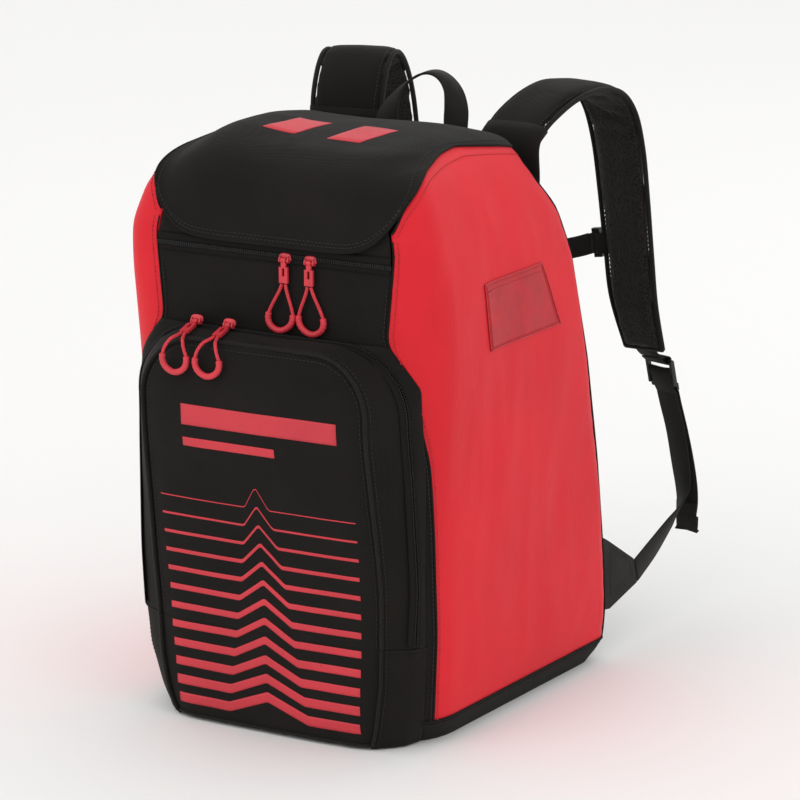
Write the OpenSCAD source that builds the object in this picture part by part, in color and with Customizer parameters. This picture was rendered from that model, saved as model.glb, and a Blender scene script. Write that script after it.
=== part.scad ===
// Ski boot backpack: a soft shell with a hood lid, a front pocket and a shoulder harness.
// The front faces -Y, the harness side faces +Y, and Z = 0 is the ground.

/* [Body] */
// Height of the closed bag
body_h = 520; // [500:5:540]
// Greatest width of the shell
body_w = 344; // [330:2:356]
// From the bag's middle plane to the shell's front
front_y = 132; // [128:1:136]
// From the bag's middle plane to the back of the base
back_y = 195; // [188:1:202]
// Thickness of the lined shell fabric
shell_t = 3; // [2:0.5:4]

/* [Pocket] */
// How far the pocket's front stands from the middle plane
pocket_y = 176; // [172:1:180]
// Height at which the pocket's front panel is seamed
pocket_seam_z = 356; // [350:1:358]
// Height of the fold on which the pocket opens
pocket_fold_z = 96; // [90:1:100]

/* [Zips] */
// Height of the main zip on the front
main_zip_z = 430; // [429:1:432]
// Diameter of the pull cords
cord_d = 3; // [2.5:0.5:3.5]
// Diameter of the moulded grips on the pull cords
grip_d = 5.6; // [5:0.2:6]

/* [Harness] */
// Width of a shoulder pad at the top
pad_w = 68; // [60:2:70]
// Thickness of a shoulder pad
pad_t = 13; // [10:1:14]
// Width of the lower webbing
web_w = 25; // [20:1:25]
// Thickness of all webbing
web_t = 1.8; // [1.4:0.2:2]
// Width of the chest strap
chest_w = 20; // [18:1:20]

/* [Hidden] */

RED = [0.85, 0.2, 0.24];
BLACK = [0.11, 0.1, 0.09];
MESH = [0.2, 0.19, 0.18];
CORAL = [0.86, 0.25, 0.33];

half_w = body_w / 2;

// Profiles of the shell against height: [part of body_h, part of the full measure].
FRONT_W = [[0, .78], [.03, .83], [.1, .87], [.2, .89], [.58, .9], [.77, .907], [.85, .884],
    [.92, .826], [.96, .756], [.985, .674], [1, .57]];
BACK_W = [[0, .9], [.03, .965], [.1, .99], [.39, 1], [.58, .99], [.77, .92], [.85, .86],
    [.92, .762], [.96, .686], [.985, .616], [1, .535]];
FRONT_D = [[0, .82], [.03, .894], [.1, .97], [.3, 1], [.85, .992], [.92, .955], [.96, .88],
    [.985, .77], [1, .62]];
BACK_D = [[0, .944], [.03, 1], [.1, .985], [.2, .954], [.39, .86], [.58, .76], [.77, .7],
    [.85, .682], [.92, .667], [.96, .636], [.985, .574], [1, .47]];
// Cut lengths of the front and back corners, in mm.
FRONT_CUT = [[0, 50], [.58, 50], [.77, 40], [.85, 32], [1, 30]];
BACK_CUT = [[0, 20], [.77, 22], [.85, 32], [.92, 70], [1, 70]];

// Where the red side panel starts, as a place round the section (see shell_pt).
SEAM_Q = [[0, 1.65], [.5, 1.65], [.62, 1.5], [.664, 1.25], [.704, 1], [1, .97]];
// Arch seam between side panel and lid: [part along, place round the section, height part].
ARCH = [[0, .97, .878], [.12, 1.25, .925], [.25, 1.8, .965], [.4, 2.25, .985], [.6, 2.6, .988],
    [.8, 2.95, .976], [1, 3.45, .952]];

base_top_z = 22;
arch_rows = 12;

function mix(a, b, t) = a + (b - a) * t;
function curve3(a, b, c, t) = (1 - t) * (1 - t) * a + 2 * t * (1 - t) * b + t * t * c;
function steps(n) = [for (i = [0:n]) i / n];
function unit(v) = v / norm(v);

// A point of the shell. q runs round the section: 0 front centre, 1 to 2 front corner,
// 2 to 3 side, 3 to 4 back corner, 5 back centre; negative q is the left side.
function shell_pt(q, z, inset = 0) =
    let (f = z / body_h, s = abs(q),
        wf = half_w * lookup(f, FRONT_W) - inset, wb = half_w * lookup(f, BACK_W) - inset,
        yf = inset - front_y * lookup(f, FRONT_D), yb = back_y * lookup(f, BACK_D) - inset,
        cf = lookup(f, FRONT_CUT), cb = lookup(f, BACK_CUT),
        side = unit([wb - wf, yb - yf]),
        f1 = [wf, yf] + side * cf, b0 = [wb, yb] - side * cb,
        p = s <= 1 ? mix([0, yf], [wf - cf, yf], s)
            : s <= 2 ? curve3([wf - cf, yf], [wf, yf], f1, s - 1)
            : s <= 3 ? mix(f1, b0, s - 2)
            : s <= 4 ? curve3(b0, [wb, yb], [wb - cb, yb], s - 3)
            : mix([wb - cb, yb], [0, yb], min(s, 5) - 4))
    [sign(q + 1e-9) * p[0], p[1], z];

// The arch seam, part u of the way from front to back.
function arch_q(u) = lookup(u, [for (a = ARCH) [a[0], a[1]]]);
function arch_z(u) = body_h * lookup(u, [for (a = ARCH) [a[0], a[2]]]);
function seam_q(z) = lookup(z / body_h, SEAM_Q);
function back_yz(z) = back_y * lookup(z / body_h, BACK_D);

// Signed volume of a triangle mesh; its sign tells which way the faces look.
function signed_volume(pts, tris) =
    [for (t = tris) pts[t[0]] * cross(pts[t[1]], pts[t[2]])] * [for (t = tris) 1];

module solid_mesh(pts, tris) {
    out = signed_volume(pts, tris) > 0 ? [for (t = tris) [t[2], t[1], t[0]]] : tris;
    polyhedron(points = pts, faces = out, convexity = 8);
}

// Closed solid between two grids of points with the same rows and columns.
module slab(a, b) {
    n = len(a);
    m = len(a[0]);
    s = n * m;
    pts = [for (g = [a, b]) for (row = g) for (p = row) p];
    quads = [
        for (i = [0:n - 2]) for (j = [0:m - 2])
            each [[i * m + j, i * m + j + 1, i * m + m + j + 1, i * m + m + j],
                [s + i * m + m + j, s + i * m + m + j + 1, s + i * m + j + 1, s + i * m + j]],
        for (j = [0:m - 2])
            each [[j + 1, j, s + j, s + j + 1],
                [(n - 1) * m + j, (n - 1) * m + j + 1, s + (n - 1) * m + j + 1, s + (n - 1) * m + j]],
        for (i = [0:n - 2])
            each [[i * m, i * m + m, s + i * m + m, s + i * m],
                [i * m + 2 * m - 1, i * m + m - 1, s + i * m + m - 1, s + i * m + 2 * m - 1]]];
    solid_mesh(pts, [for (q = quads) each [[q[0], q[1], q[2]], [q[0], q[2], q[3]]]]);
}

// Closed solid through a list of rings that have the same number of points.
module loft(rings) {
    n = len(rings);
    m = len(rings[0]);
    pts = [for (r = rings) for (p = r) p];
    walls = [for (i = [0:n - 2]) for (j = [0:m - 1])
        each [[i * m + j, i * m + (j + 1) % m, (i + 1) * m + (j + 1) % m],
            [i * m + j, (i + 1) * m + (j + 1) % m, (i + 1) * m + j]]];
    caps = [for (j = [1:m - 2])
        each [[0, j + 1, j], [(n - 1) * m, (n - 1) * m + j, (n - 1) * m + j + 1]]];
    solid_mesh(pts, concat(walls, caps));
}

// Path with k points for each given one, on a smooth curve through them.
function smooth(path, k = 3) =
    let (last = len(path) - 1)
    [for (i = [0:last - 1]) for (j = [0:(i == last - 1 ? k : k - 1)])
        let (t = j / k, a = path[max(i - 1, 0)], b = path[i], c = path[i + 1], d = path[min(i + 2, last)])
        b + .5 * t * ((c - a) + t * ((2 * a - 5 * b + 4 * c - d) + t * (3 * b - a - 3 * c + d)))];

function tangent(path, i) =
    unit(path[min(i + 1, len(path) - 1)] - path[max(i - 1, 0)]);

// Rings of a flat band along a path. side(s) gives the width direction at each point.
function band_rings(path, sides, widths, thick, round_edge = 0) =
    [for (i = [0:len(path) - 1])
        let (t = tangent(path, i), n = unit(cross(t, sides[i])), s = unit(cross(n, t)),
            w = widths[i] / 2, h = thick / 2, e = round_edge)
        [for (c = e == 0 ? [[-w, -h], [w, -h], [w, h], [-w, h]]
            : [[-w, -h / 3], [e - w, -h], [w - e, -h], [w, -h / 3],
                [w, h / 3], [w - e, h], [e - w, h], [-w, h / 3]])
            path[i] + s * c[0] + n * c[1]]];

// Tube of a round cord along a path.
module tube(path, d, sides = 8) {
    loft([for (i = [0:len(path) - 1])
        let (t = tangent(path, i), n = unit(cross(t, [0, 1, 0])), b = cross(t, n))
        [for (k = [0:sides - 1]) path[i] + (n * cos(360 * k / sides) + b * sin(360 * k / sides)) * d / 2]]);
}

/* ---- Shell ---- */

base_levels = [0.3, 6, 15, base_top_z];

module base_panel() color(BLACK) {
    linear_extrude(shell_t)
        polygon([for (k = steps(60)) let (p = shell_pt(10 * k - 5 + 1e-4, 1)) [p[0], p[1]]]);
    slab([for (z = base_levels) [for (k = steps(56)) shell_pt(9.8 * k - 4.9, z)]],
        [for (z = base_levels) [for (k = steps(56)) shell_pt(9.8 * k - 4.9, z, shell_t)]]);
}

module base_board() color(MESH)
    translate([0, 0, shell_t + 0.2]) linear_extrude(2)
        polygon([for (k = steps(40)) let (p = shell_pt(10 * k - 5 + 1e-4, 4, shell_t + 4)) [p[0], p[1]]]);

side_cols = 9;
wall_z0 = base_top_z + 0.3;
back_seam_q = 3.5;

function side_grid(sgn, inset) =
    [for (v = steps(arch_rows)) [for (u = steps(side_cols))
        let (z = mix(wall_z0, arch_z(u), v), q = mix(mix(seam_q(z), back_seam_q, u), arch_q(u), pow(v, 3)))
        shell_pt(sgn * q, z, inset)]];

// The side panel's front edge, which the front panel stops just short of.
function front_edge_q(z) =
    mix(seam_q(z), arch_q(0), pow((z - wall_z0) / (arch_z(0) - wall_z0), 3)) - .015;

module side_panel(sgn) color(RED) slab(side_grid(sgn, 0), side_grid(sgn, shell_t));

module front_panel() color(BLACK) {
    levels = concat([for (k = [0:arch_rows - 1]) mix(wall_z0, arch_z(0), k / arch_rows)], [main_zip_z - 4]);
    slab([for (z = levels) [for (u = steps(14)) shell_pt((2 * u - 1) * front_edge_q(z), z)]],
        [for (z = levels) [for (u = steps(14)) shell_pt((2 * u - 1) * front_edge_q(z), z, shell_t)]]);
}

// Shell points past the back centre carry on round the left side.
function wrap_pt(q, z, inset) = shell_pt(q > 5 ? q - 10 : q, z, inset);

module back_panel() color(BLACK) {
    levels = [for (v = steps(12)) mix(wall_z0, body_h * .95, v)];
    slab([for (z = levels) [for (u = steps(16)) wrap_pt(mix(3.52, 6.48, u), z, 0)]],
        [for (z = levels) [for (u = steps(16)) wrap_pt(mix(3.52, 6.48, u), z, shell_t)]]);
}

// Stiff sheet inside the back panel, narrower at the top.
function frame_row(z, y) =
    let (w = lookup(z, [[400, 100], [455, 70]])) [for (u = steps(6)) [mix(-w, w, u), back_yz(z) + y, z]];

module frame_sheet() color(MESH) {
    levels = [for (v = steps(8)) mix(40, 455, v)];
    slab([for (z = levels) frame_row(z, -shell_t - .8)], [for (z = levels) frame_row(z, -shell_t - 2.8)]);
}

// Crowned foam pad on the back panel, between two x and two z values.
module foam_pad(x0, x1, z0, z1, t) {
    n = 8;
    function crown(u) = pow(1 - pow(abs(2 * u - 1), 4), 0.5);
    slab([for (v = steps(n)) [for (u = steps(n))
            let (z = mix(z0, z1, v)) [mix(x0, x1, u), back_yz(z) + 2 + t * crown(u) * crown(v), z]]],
        [for (v = steps(n)) [for (u = steps(n))
            let (z = mix(z0, z1, v)) [mix(x0, x1, u), back_yz(z) + .3, z]]]);
}

module back_pad_left() color(MESH) foam_pad(-98, -22, 205, 425, 12);
module back_pad_right() color(MESH) foam_pad(22, 98, 205, 425, 12);
module lumbar_pad() color(MESH) foam_pad(-98, 98, 92, 192, 14);

// Fabric band behind the shoulder pads' sewn ends.
module harness_yoke() color(BLACK) {
    levels = [for (v = steps(4)) mix(428, 466, v)];
    slab([for (z = levels) [for (u = steps(16)) wrap_pt(mix(3.95, 6.05, u), z, -2.2)]],
        [for (z = levels) [for (u = steps(16)) wrap_pt(mix(3.95, 6.05, u), z, -.3)]]);
}

function window_pt(u, v, o) = shell_pt(mix(2.25, 2.75, u) + .08 * (1 - v) * u, mix(344, 403, v), -o);

module id_window() color([.6, .1, .12])
    slab([for (v = steps(4)) [for (u = steps(4)) window_pt(u, v, .9)]],
        [for (v = steps(4)) [for (u = steps(4)) window_pt(u, v, .2)]]);

/* ---- Front pocket ---- */

// Outline of the pocket at part v of its height, part u across, at depth part d
// (0 the front panel's seam, 1 the zip beside the shell).
pocket_top_r = 52;
pocket_rise = 5; // of the roof, from the front seam back to the zip
rim_y = -front_y - 5;
function rim_at(z) = lookup(z, [[0, -front_y + 17], [60, -front_y + 7], [98, -front_y + 3.6],
    [150, -front_y + 3.6], [240, -front_y - 1], [300, rim_y]]);
function rim_q(z) = lookup(z, [[250, 1.5], [330, 1.42]]);

function pocket_half_w(z, d) =
    let (w = mix(lookup(z, [[145, 118], [280, 112]]), lookup(z, [[150, 142], [240, 137], [290, 134]]), d),
        top = pocket_seam_z + pocket_rise * d,
        r = pocket_top_r + 10 * d, h = max(0, z - (top - r)),
        low = lookup(z, [[0, .84], [20, .9], [60, .95], [150, .985], [250, 1]]))
    w * low - (r - sqrt(max(0, r * r - h * h)));
function pocket_front_y(z) =
    -pocket_y * lookup(z, [[0, .795], [10, .835], [50, .845], [90, .85], [145, .87], [200, .915],
        [240, .955], [280, .99], [310, 1], [340, .985], [370, .955]]);

// The cover runs from the left zip over the front panel to the right zip.
function pocket_row(z, z_zip, inset) =
    let (yf = pocket_front_y(z) + inset, ws = pocket_half_w(z, 0) - inset,
        wz = pocket_half_w(z_zip, 1) - inset, ys = yf + 12,
        right = concat([for (k = [.25, .5, .72]) [ws * k, yf, z]],
            [for (t = [.25, .5, .75, 1])
                let (c = curve3([ws * .8, yf], [ws, yf], [ws + 1, ys], t)) [c[0], c[1], z]],
            [for (t = [.33, .66, 1])
                [mix(ws + 1, wz, t), mix(ys, rim_at(z_zip) + min(inset, .3), t), mix(z, z_zip, t)]]))
    concat([for (i = [len(right) - 1:-1:0]) [-right[i][0], right[i][1], right[i][2]]], [[0, yf, z]], right);

cover_levels = [for (v = [0, .2, .4, .6, .75, .86, .93, .98]) mix(pocket_fold_z + 1, pocket_seam_z - .5, v)];

function roof_pt(p, z, v, drop) =
    [p[0] * mix(1, .98, v), mix(p[1] + .4, rim_y, v), z + (pocket_rise + .5) * sin(90 * v) - drop];

module pocket_cover() color(BLACK) {
    t = 2.4;
    slab([for (z = cover_levels) pocket_row(z, z + pocket_rise * (z - cover_levels[0]) / 262, 0)],
        [for (z = cover_levels) pocket_row(z, z + pocket_rise * (z - cover_levels[0]) / 262, t)]);
    // Top of the gusset, from the front panel's seam back to the zip.
    zs = cover_levels[len(cover_levels) - 1];
    front = pocket_row(zs, zs + pocket_rise, 0);
    span = [for (p = front) if (abs(p[0]) < pocket_half_w(zs + pocket_rise, 1) - 1) p];
    slab([for (v = steps(4)) [for (p = span) roof_pt(p, zs, v, 0)]],
        [for (v = steps(4)) [for (p = span) roof_pt(p, zs, v, t)]]);
}

// The fixed lower part of the pocket runs on to the shell on both sides.
function floor_row(z, inset) =
    let (row = pocket_row(z, z, inset), e = row[len(row) - 1],
        b = shell_pt(rim_q(z) - inset * .02, z, -1.1))
    concat([[-b[0], b[1], z], [-mix(e[0], b[0], .5), mix(e[1], b[1], .5), z]], row,
        [[mix(e[0], b[0], .5), mix(e[1], b[1], .5), z], b]);

module pocket_floor() color(BLACK) {
    levels = [0.3, 4, 9, 18, 35, 60, pocket_fold_z - 1];
    slab([for (z = levels) floor_row(z, 0)], [for (z = levels) floor_row(z, 2.4)]);
    // Bottom sheet of the pocket.
    row = floor_row(1, .4);
    translate([0, 0, 0.3]) linear_extrude(2.4)
        polygon(concat([for (p = row) [p[0], p[1]]],
            [for (k = steps(12)) let (p = shell_pt(mix(1.3, -1.3, k), 4, -.6)) [p[0], p[1]]]));
}

// Strip of fabric that joins the pocket's zip to the shell's front.
module pocket_rim() color(BLACK) {
    levels = [for (v = steps(8)) mix(pocket_fold_z, 330, v)];
    for (s = [-1, 1])
        slab([for (z = levels) [for (k = [0, .5, 1])
                let (a = [pocket_half_w(z, 1), rim_at(z) + 1.4], b = shell_pt(rim_q(z), z, -1.1))
                [s * mix(a[0], b[0], k), mix(a[1], b[1], k), z]]],
            [for (z = levels) [for (k = [0, .5, 1])
                let (a = [pocket_half_w(z, 1) - 2, rim_at(z) + 2.4], b = shell_pt(rim_q(z) - .05, z, -.9))
                [s * mix(a[0], b[0], k), mix(a[1], b[1], k), z]]]);
}

// One half of the pocket's zip: a ribbon at a distance gap inside the pocket's outline, up
// both sides and over the top.
zip_levels = [0, 50, 105, 160, 200, 220, 234, 244, 251, 256];

function zip_side(t, gap) = [for (h = zip_levels) let (z = pocket_fold_z + 2 + h)
    if (z < pocket_seam_z + pocket_rise - gap - 1)
        [pocket_half_w(z + gap + t, 1) - gap - t, z - t * h / 256]];
function zip_line(t, gap) =
    let (side = zip_side(t, gap), last = len(side) - 1, top = pocket_seam_z + pocket_rise - gap - t)
    concat([for (p = side) [-p[0], p[1]]], [for (x = [-60:30:60]) [x, top]],
        [for (i = [last:-1:0]) side[i]]);

module zip_ribbon(y0, y1, gap, t = 1.4)
    slab([for (y = [y0, y1]) [for (p = zip_line(0, gap)) [p[0], rim_at(p[1]) + y, p[1]]]],
        [for (y = [y0, y1]) [for (p = zip_line(t, gap)) [p[0], rim_at(p[1]) + y, p[1]]]]);

module pocket_zip_tape() color(BLACK) zip_ribbon(0.9, 3.3, 4.2);
module pocket_cover_tape() color(BLACK) zip_ribbon(-2.8, -0.2, 12.4);

/* ---- Lid ---- */

// The lid's middle line from the flap's lower edge to the hinge: [part, y, z].
LID_LINE = [[0, -138, 438], [.14, -135.5, 466], [.26, -129, 492], [.36, -115, 508], [.46, -92, 518],
    [.58, -52, 523], [.72, 0, 525], [.86, 62, 520], [1, 121, 504]];
lid_rows = 14;
lid_cols = 14;
hinge_y = 121;
hinge_z = 503;

function lid_edge(v, inset) =
    let (p = shell_pt(arch_q(v), arch_z(v), inset)) [p[0], p[1], p[2] + 3.4];
function lid_pt(v, w, inset) =
    let (e = lid_edge(v, inset), cy = lookup(v, [for (l = LID_LINE) [l[0], l[1]]]),
        cz = lookup(v, [for (l = LID_LINE) [l[0], l[2]]]),
        front = max(0, 1 - v / .3), k = 1 - pow(abs(w), 7))
    [w * e[0], mix(e[1] - 3 * front, cy + inset * front, k), mix(e[2], cz, k) - inset * (1 - front)];

module lid_shell() color(BLACK)
    slab([for (v = steps(lid_rows)) [for (j = steps(lid_cols)) lid_pt(v, sin(180 * j - 90), 0)]],
        [for (v = steps(lid_rows)) [for (j = steps(lid_cols)) lid_pt(v, sin(180 * j - 90), 2.4)]]);

module lid_badge() color(CORAL)
    for (s = [-1, 1]) slab(
        [for (v = [.56, .64, .72]) [for (j = [.14, .32, .5]) lid_pt(v, s * j, -1.6)]],
        [for (v = [.56, .64, .72]) [for (j = [.14, .32, .5]) lid_pt(v, s * j, -.7)]]);

// Level band of zip tape on the shell's front.
module zip_band(z0, z1)
    slab([for (z = [z0, z1]) [for (u = steps(10)) shell_pt((2 * u - 1) * .95, z, .2)]],
        [for (z = [z0, z1]) [for (u = steps(10)) shell_pt((2 * u - 1) * .95, z, 1.6)]]);

module lid_zip_tape() color(BLACK) zip_band(main_zip_z + 2, main_zip_z + 8.5);
module main_zip_tape() color(BLACK) zip_band(main_zip_z - 3.9, main_zip_z + .5);

/* ---- Zip sliders and pulls ---- */

main_slider_x = [13, 38];
main_lean = [-.12, .06]; // sideways per mm of drop, where the two loops push apart
pocket_slider_x = [-72, -39];
main_face_y = -front_y * .992;
tab_len = 20;

// Slider with its arched bridge, at a point on the zip's face. Its pull pivots at the
// origin about X.
module slider() color(CORAL) {
    translate([-5, 2.6, -3]) cube([10, 1.2, 8.6]);
    translate([-6.5, 2.2, 3.4]) cube([13, 1.6, 2.6]);
    for (x = [-5, 3.2]) translate([x, -1.6, -2]) cube([1.8, 4.4, 4]);
    rotate([0, 90, 0]) cylinder(h = 8, d = 1.6, center = true, $fn = 24);
}

// Moulded tab with an eye round the slider's bar and a slot for the cord. tilt lays it down.
module pull_tab(tilt = 0) color(CORAL) rotate([-tilt, 0, 0])
    difference() {
        union() {
            rotate([0, 90, 0]) cylinder(h = 4.6, r = 2.4, center = true, $fn = 32);
            translate([-2.3, -1.5, -8]) cube([4.6, 2.4, 8]);
            translate([-4.2, -1.6, -tab_len]) cube([8.4, 2.6, tab_len - 6]);
        }
        rotate([0, 90, 0]) cylinder(h = 6, r = 0.95, center = true, $fn = 32);
        translate([-1.2, -3, -tab_len + 6]) cube([2.4, 6, 7]);
    }

// Half of the pull's teardrop: offsets [x, distance below the pivot], hand chosen.
TEAR = [[1.8, 21], [3.2, 26], [6.2, 33], [9.6, 40.5], [11.9, 47], [12.2, 51.5], [10.8, 56], [7.5, 59.5],
    [3.4, 61.6]];
tear_end = 62.2;
strand_pts = 5;
// The pocket's pulls lie forward over the pocket's top and hang over its edge.
drape_tilt = 74;
drape_run = 30;
drape_r = 9;

// Place of a pull's point: straight down, or draped over the pocket's edge.
function pull_pt(x, s, draped, lean = 0) =
    let (dir = [0, -sin(drape_tilt), -cos(drape_tilt)], over = max(0, s - drape_run),
        a = min(over / drape_r, drape_tilt * PI / 180) * 180 / PI, rest = over - a * PI / 180 * drape_r,
        low = drape_tilt - a)
    !draped ? [x + lean * max(0, s - tab_len), -.3, -s]
        : over == 0 ? [x, 0, 0] + dir * s
        : [x, 0, 0] + dir * drape_run
            + drape_r * [0, cos(drape_tilt) - cos(low), sin(low) - sin(drape_tilt)] - [0, 0, rest];

module pull_cord(draped = false, lean = 0) color(CORAL)
    for (s = [-1, 1])
        tube(smooth([for (i = [0:strand_pts - 1]) pull_pt(s * TEAR[i][0], TEAR[i][1], draped, lean)], 2),
            cord_d);
module pull_grip(draped = false, lean = 0) color(CORAL)
    tube(smooth(concat(
        [for (i = [strand_pts - 1:len(TEAR) - 1]) pull_pt(-TEAR[i][0], TEAR[i][1] + .1, draped, lean)],
        [pull_pt(0, tear_end, draped, lean)],
        [for (i = [len(TEAR) - 1:-1:strand_pts - 1])
            pull_pt(TEAR[i][0], TEAR[i][1] + .1, draped, lean)]), 2), grip_d, 10);

module at_main(i)
    translate([main_slider_x[i], main_face_y - 4.6, main_zip_z - 2]) children();
module at_pocket(i) translate([pocket_slider_x[i], rim_y - 6, pocket_seam_z + pocket_rise + 5]) children();

/* ---- Harness ---- */

// Middle lines of the shoulder pads, from the sewn top end to the lower tip.
PAD_RIGHT = [[87, 146, 499], [91, 166, 513], [97, 198, 526], [103, 234, 531], [109, 268, 524],
    [113, 292, 502], [117, 304, 465], [121, 309, 417], [126, 311, 364], [131, 313, 316], [138, 324, 268]];
PAD_LEFT = [[-87, 146, 500], [-88, 152, 521], [-91, 166, 543], [-95, 186, 554], [-101, 213, 548],
    [-107, 240, 524], [-112, 262, 490], [-117, 281, 440], [-123, 297, 380], [-130, 309, 322],
    [-138, 324, 268]];
pad_widths = [66, 68, 68, 68, 67, 66, 64, 62, 60, 58, 50];
pad_side_right = [.964, -.266, 0];
pad_side_left = [.964, .266, 0];

module shoulder_pad(path, side) color(BLACK) {
    line = smooth(path);
    loft(band_rings(line, [for (p = line) side], smooth(pad_widths) * (pad_w / 68), pad_t, 7));
}

// Lower webbing: from the ladder lock down to its low point and in to the anchor.
WEB = [[150, 350, 222], [151.5, 355, 206], [155, 362, 180], [158, 367, 150], [161, 368, 126],
    [163, 362, 110], [164, 348, 100], [164, 325, 91], [163.5, 298, 80], [162, 262, 66]];
WEB_TURN = [0, 4, 12, 22, 36, 50, 62, 74, 84, 90];
TAIL = [[150, 356, 222], [151.5, 361, 206], [155, 368, 180], [159, 374, 150], [162, 377, 124],
    [163, 377, 106], [163, 373, 92]];

function web_side(a) = [cos(a) * .96, -.28 * cos(a) - .35 * sin(a), .93 * sin(a)];

module lower_webbing(s) color(BLACK) {
    path = smooth([for (p = WEB) [s * p[0], p[1], p[2]]], 4);
    loft(band_rings(path, [for (a = smooth(WEB_TURN, 4)) let (d = web_side(a)) [d[0], s * d[1], s * d[2]]],
        [for (p = path) web_w], web_t));
}

module webbing_tail(s) color(BLACK) {
    path = smooth([for (p = TAIL) [s * p[0], p[1], p[2]]]);
    loft(band_rings(path, [for (p = path) [.96, -.28 * s, 0]], [for (p = path) web_w], web_t));
    // Folded and stitched end.
    translate([s * 163, 375.6, 84]) rotate([0, 0, -16 * s]) cube([web_w + 1, 4.4, 15], center = true);
}

// Ladder lock: a frame with three bars, below the pad's tip.
lock_pos = [146, 341, 254];
lock_tilt = 14;

// Webbing loop that holds the ladder lock below the pad's tip.
LOOP = [[138.6, 325.5, 266.5], [141.5, 331, 260], [145, 337.5, 257.8]];

module lock_loop(s) color(BLACK) {
    path = smooth([for (p = LOOP) [s * p[0], p[1], p[2]]]);
    loft(band_rings(path, [for (p = path) [.96, -.28 * s, 0]], [for (p = path) web_w], 3));
}

module ladder_lock(s) color(BLACK)
    translate([s * lock_pos[0], lock_pos[1], lock_pos[2]])
    rotate([0, 0, -16 * s]) rotate([lock_tilt, 0, 0]) {
        rotate([0, 90, 0]) cylinder(h = web_w + 8, d = 3.4, center = true, $fn = 24);
        for (x = [-1, 1]) translate([x * (web_w / 2 + 2.5) - 1.5, -2, -26]) cube([3, 4.5, 26]);
        for (z = [-13, -25]) translate([0, .4, z]) rotate([0, 90, 0])
            cylinder(h = web_w + 8, d = 3.2, center = true, $fn = 24);
        translate([-web_w / 2 - 4, 1.6, -31]) cube([web_w + 8, 2.4, 7]);
    }

module strap_anchor(s) color(BLACK) {
    x = s > 0 ? 160.5 : -163;
    translate([x, 0, 0]) rotate([90, 0, 90]) linear_extrude(2.5)
        polygon([[194, 46], [184.5, 120], [200, 112], [255.6, 80], [264.4, 54], [205, 44]]);
}

// Chest strap: a clip on each pad, a short webbing that turns round the clip's upright bar, and one
// buckle half each.
chest_y = 319;
CHEST = [[83, chest_y, 365.2], [72, chest_y, 361.2], [58, chest_y, 357], [45, chest_y, 353.8],
    [29.8, chest_y, 351]];

module chest_slider(s) color(BLACK)
    translate([s * 90, chest_y, 366.8]) rotate([0, s * -8, 0])
        difference() {
            cube([8, 6, chest_w + 8], center = true);
            translate([-s * 1, 0, 0]) cube([3, 8, chest_w + 1], center = true);
        }

module chest_webbing(s) color(BLACK) {
    path = [for (p = CHEST) [s * p[0], p[1], p[2]]];
    loft(band_rings(path, [for (p = path) [0, 0, 1]], [for (p = path) chest_w], web_t));
}

buckle_z = 349;

module chest_buckle_female() color(BLACK)
    translate([-2.5, chest_y, buckle_z])
        difference() {
            translate([-25, -4.5, -14]) cube([25, 9, 28]);
            translate([-17, -2.6, -11]) cube([20, 5.2, 22]);
            for (z = [-1, 1]) translate([-11, -6, z * 14 - 4]) cube([8, 12, 8]);
        }

module chest_buckle_male() color(BLACK)
    translate([1, chest_y, buckle_z]) {
        translate([8, -3.5, -13]) cube([19, 7, 26]);
        for (z = [-9, 6]) translate([-.6, -1.8, z]) cube([9, 3.6, 3]);
        translate([-.2, -1.5, -1.5]) cube([9, 3, 3]);
    }

// Haul handle between the shoulder pads: a webbing loop that twists as it rises.
handle_y = 131;
handle_pivot_z = 494;
HANDLE = [[36, handle_y, handle_pivot_z + 1], [35.5, 133, 507], [33, 138, 520], [26, 146, 533],
    [14, 152, 543], [0, 154, 547]];
HANDLE_TURN = [0, 8, 34, 62, 82, 90];

// Stitched ends of the handle, flat on the back panel.
module handle_patches() color(BLACK)
    for (s = [-1, 1]) translate([s * 36 - 12, handle_y - 1.2, handle_pivot_z - 26]) cube([24, 2.4, 24.3]);

module haul_handle() color(BLACK) {
    last = len(HANDLE) - 2;
    path = smooth(concat(HANDLE, [for (i = [last:-1:0]) [-HANDLE[i][0], HANDLE[i][1], HANDLE[i][2]]]));
    turn = smooth(concat(HANDLE_TURN, [for (i = [last:-1:0]) 180 - HANDLE_TURN[i]]));
    loft(band_rings(path, [for (a = turn) [cos(a), sin(a), 0]], [for (a = turn) 24 - 4 * sin(a)], 2.2));
}

base_panel();
base_board();
side_panel(-1);  // side_panel_left
side_panel(1);  // side_panel_right
front_panel();
back_panel();
frame_sheet();
back_pad_left();
back_pad_right();
lumbar_pad();
harness_yoke();
pocket_rim();
pocket_floor();
main_zip_tape();
pocket_zip_tape();
id_window();
strap_anchor(-1);  // strap_anchor_left
strap_anchor(1);  // strap_anchor_right
lid_shell();
lid_zip_tape();
lid_badge();
pocket_cover();
pocket_cover_tape();
haul_handle();
at_main(0) slider();  // main_slider_left
at_main(0) pull_tab();  // main_pull_left
at_main(0) pull_cord(lean = main_lean[0]);  // main_cord_left
at_main(0) pull_grip(lean = main_lean[0]);  // main_grip_left
at_main(1) slider();  // main_slider_right
at_main(1) pull_tab();  // main_pull_right
at_main(1) pull_cord(lean = main_lean[1]);  // main_cord_right
at_main(1) pull_grip(lean = main_lean[1]);  // main_grip_right
at_pocket(0) slider();  // pocket_slider_left
at_pocket(0) pull_tab(drape_tilt);  // pocket_pull_left
at_pocket(0) pull_cord(true);  // pocket_cord_left
at_pocket(0) pull_grip(true);  // pocket_grip_left
at_pocket(1) slider();  // pocket_slider_right
at_pocket(1) pull_tab(drape_tilt);  // pocket_pull_right
at_pocket(1) pull_cord(true);  // pocket_cord_right
at_pocket(1) pull_grip(true);  // pocket_grip_right
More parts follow.
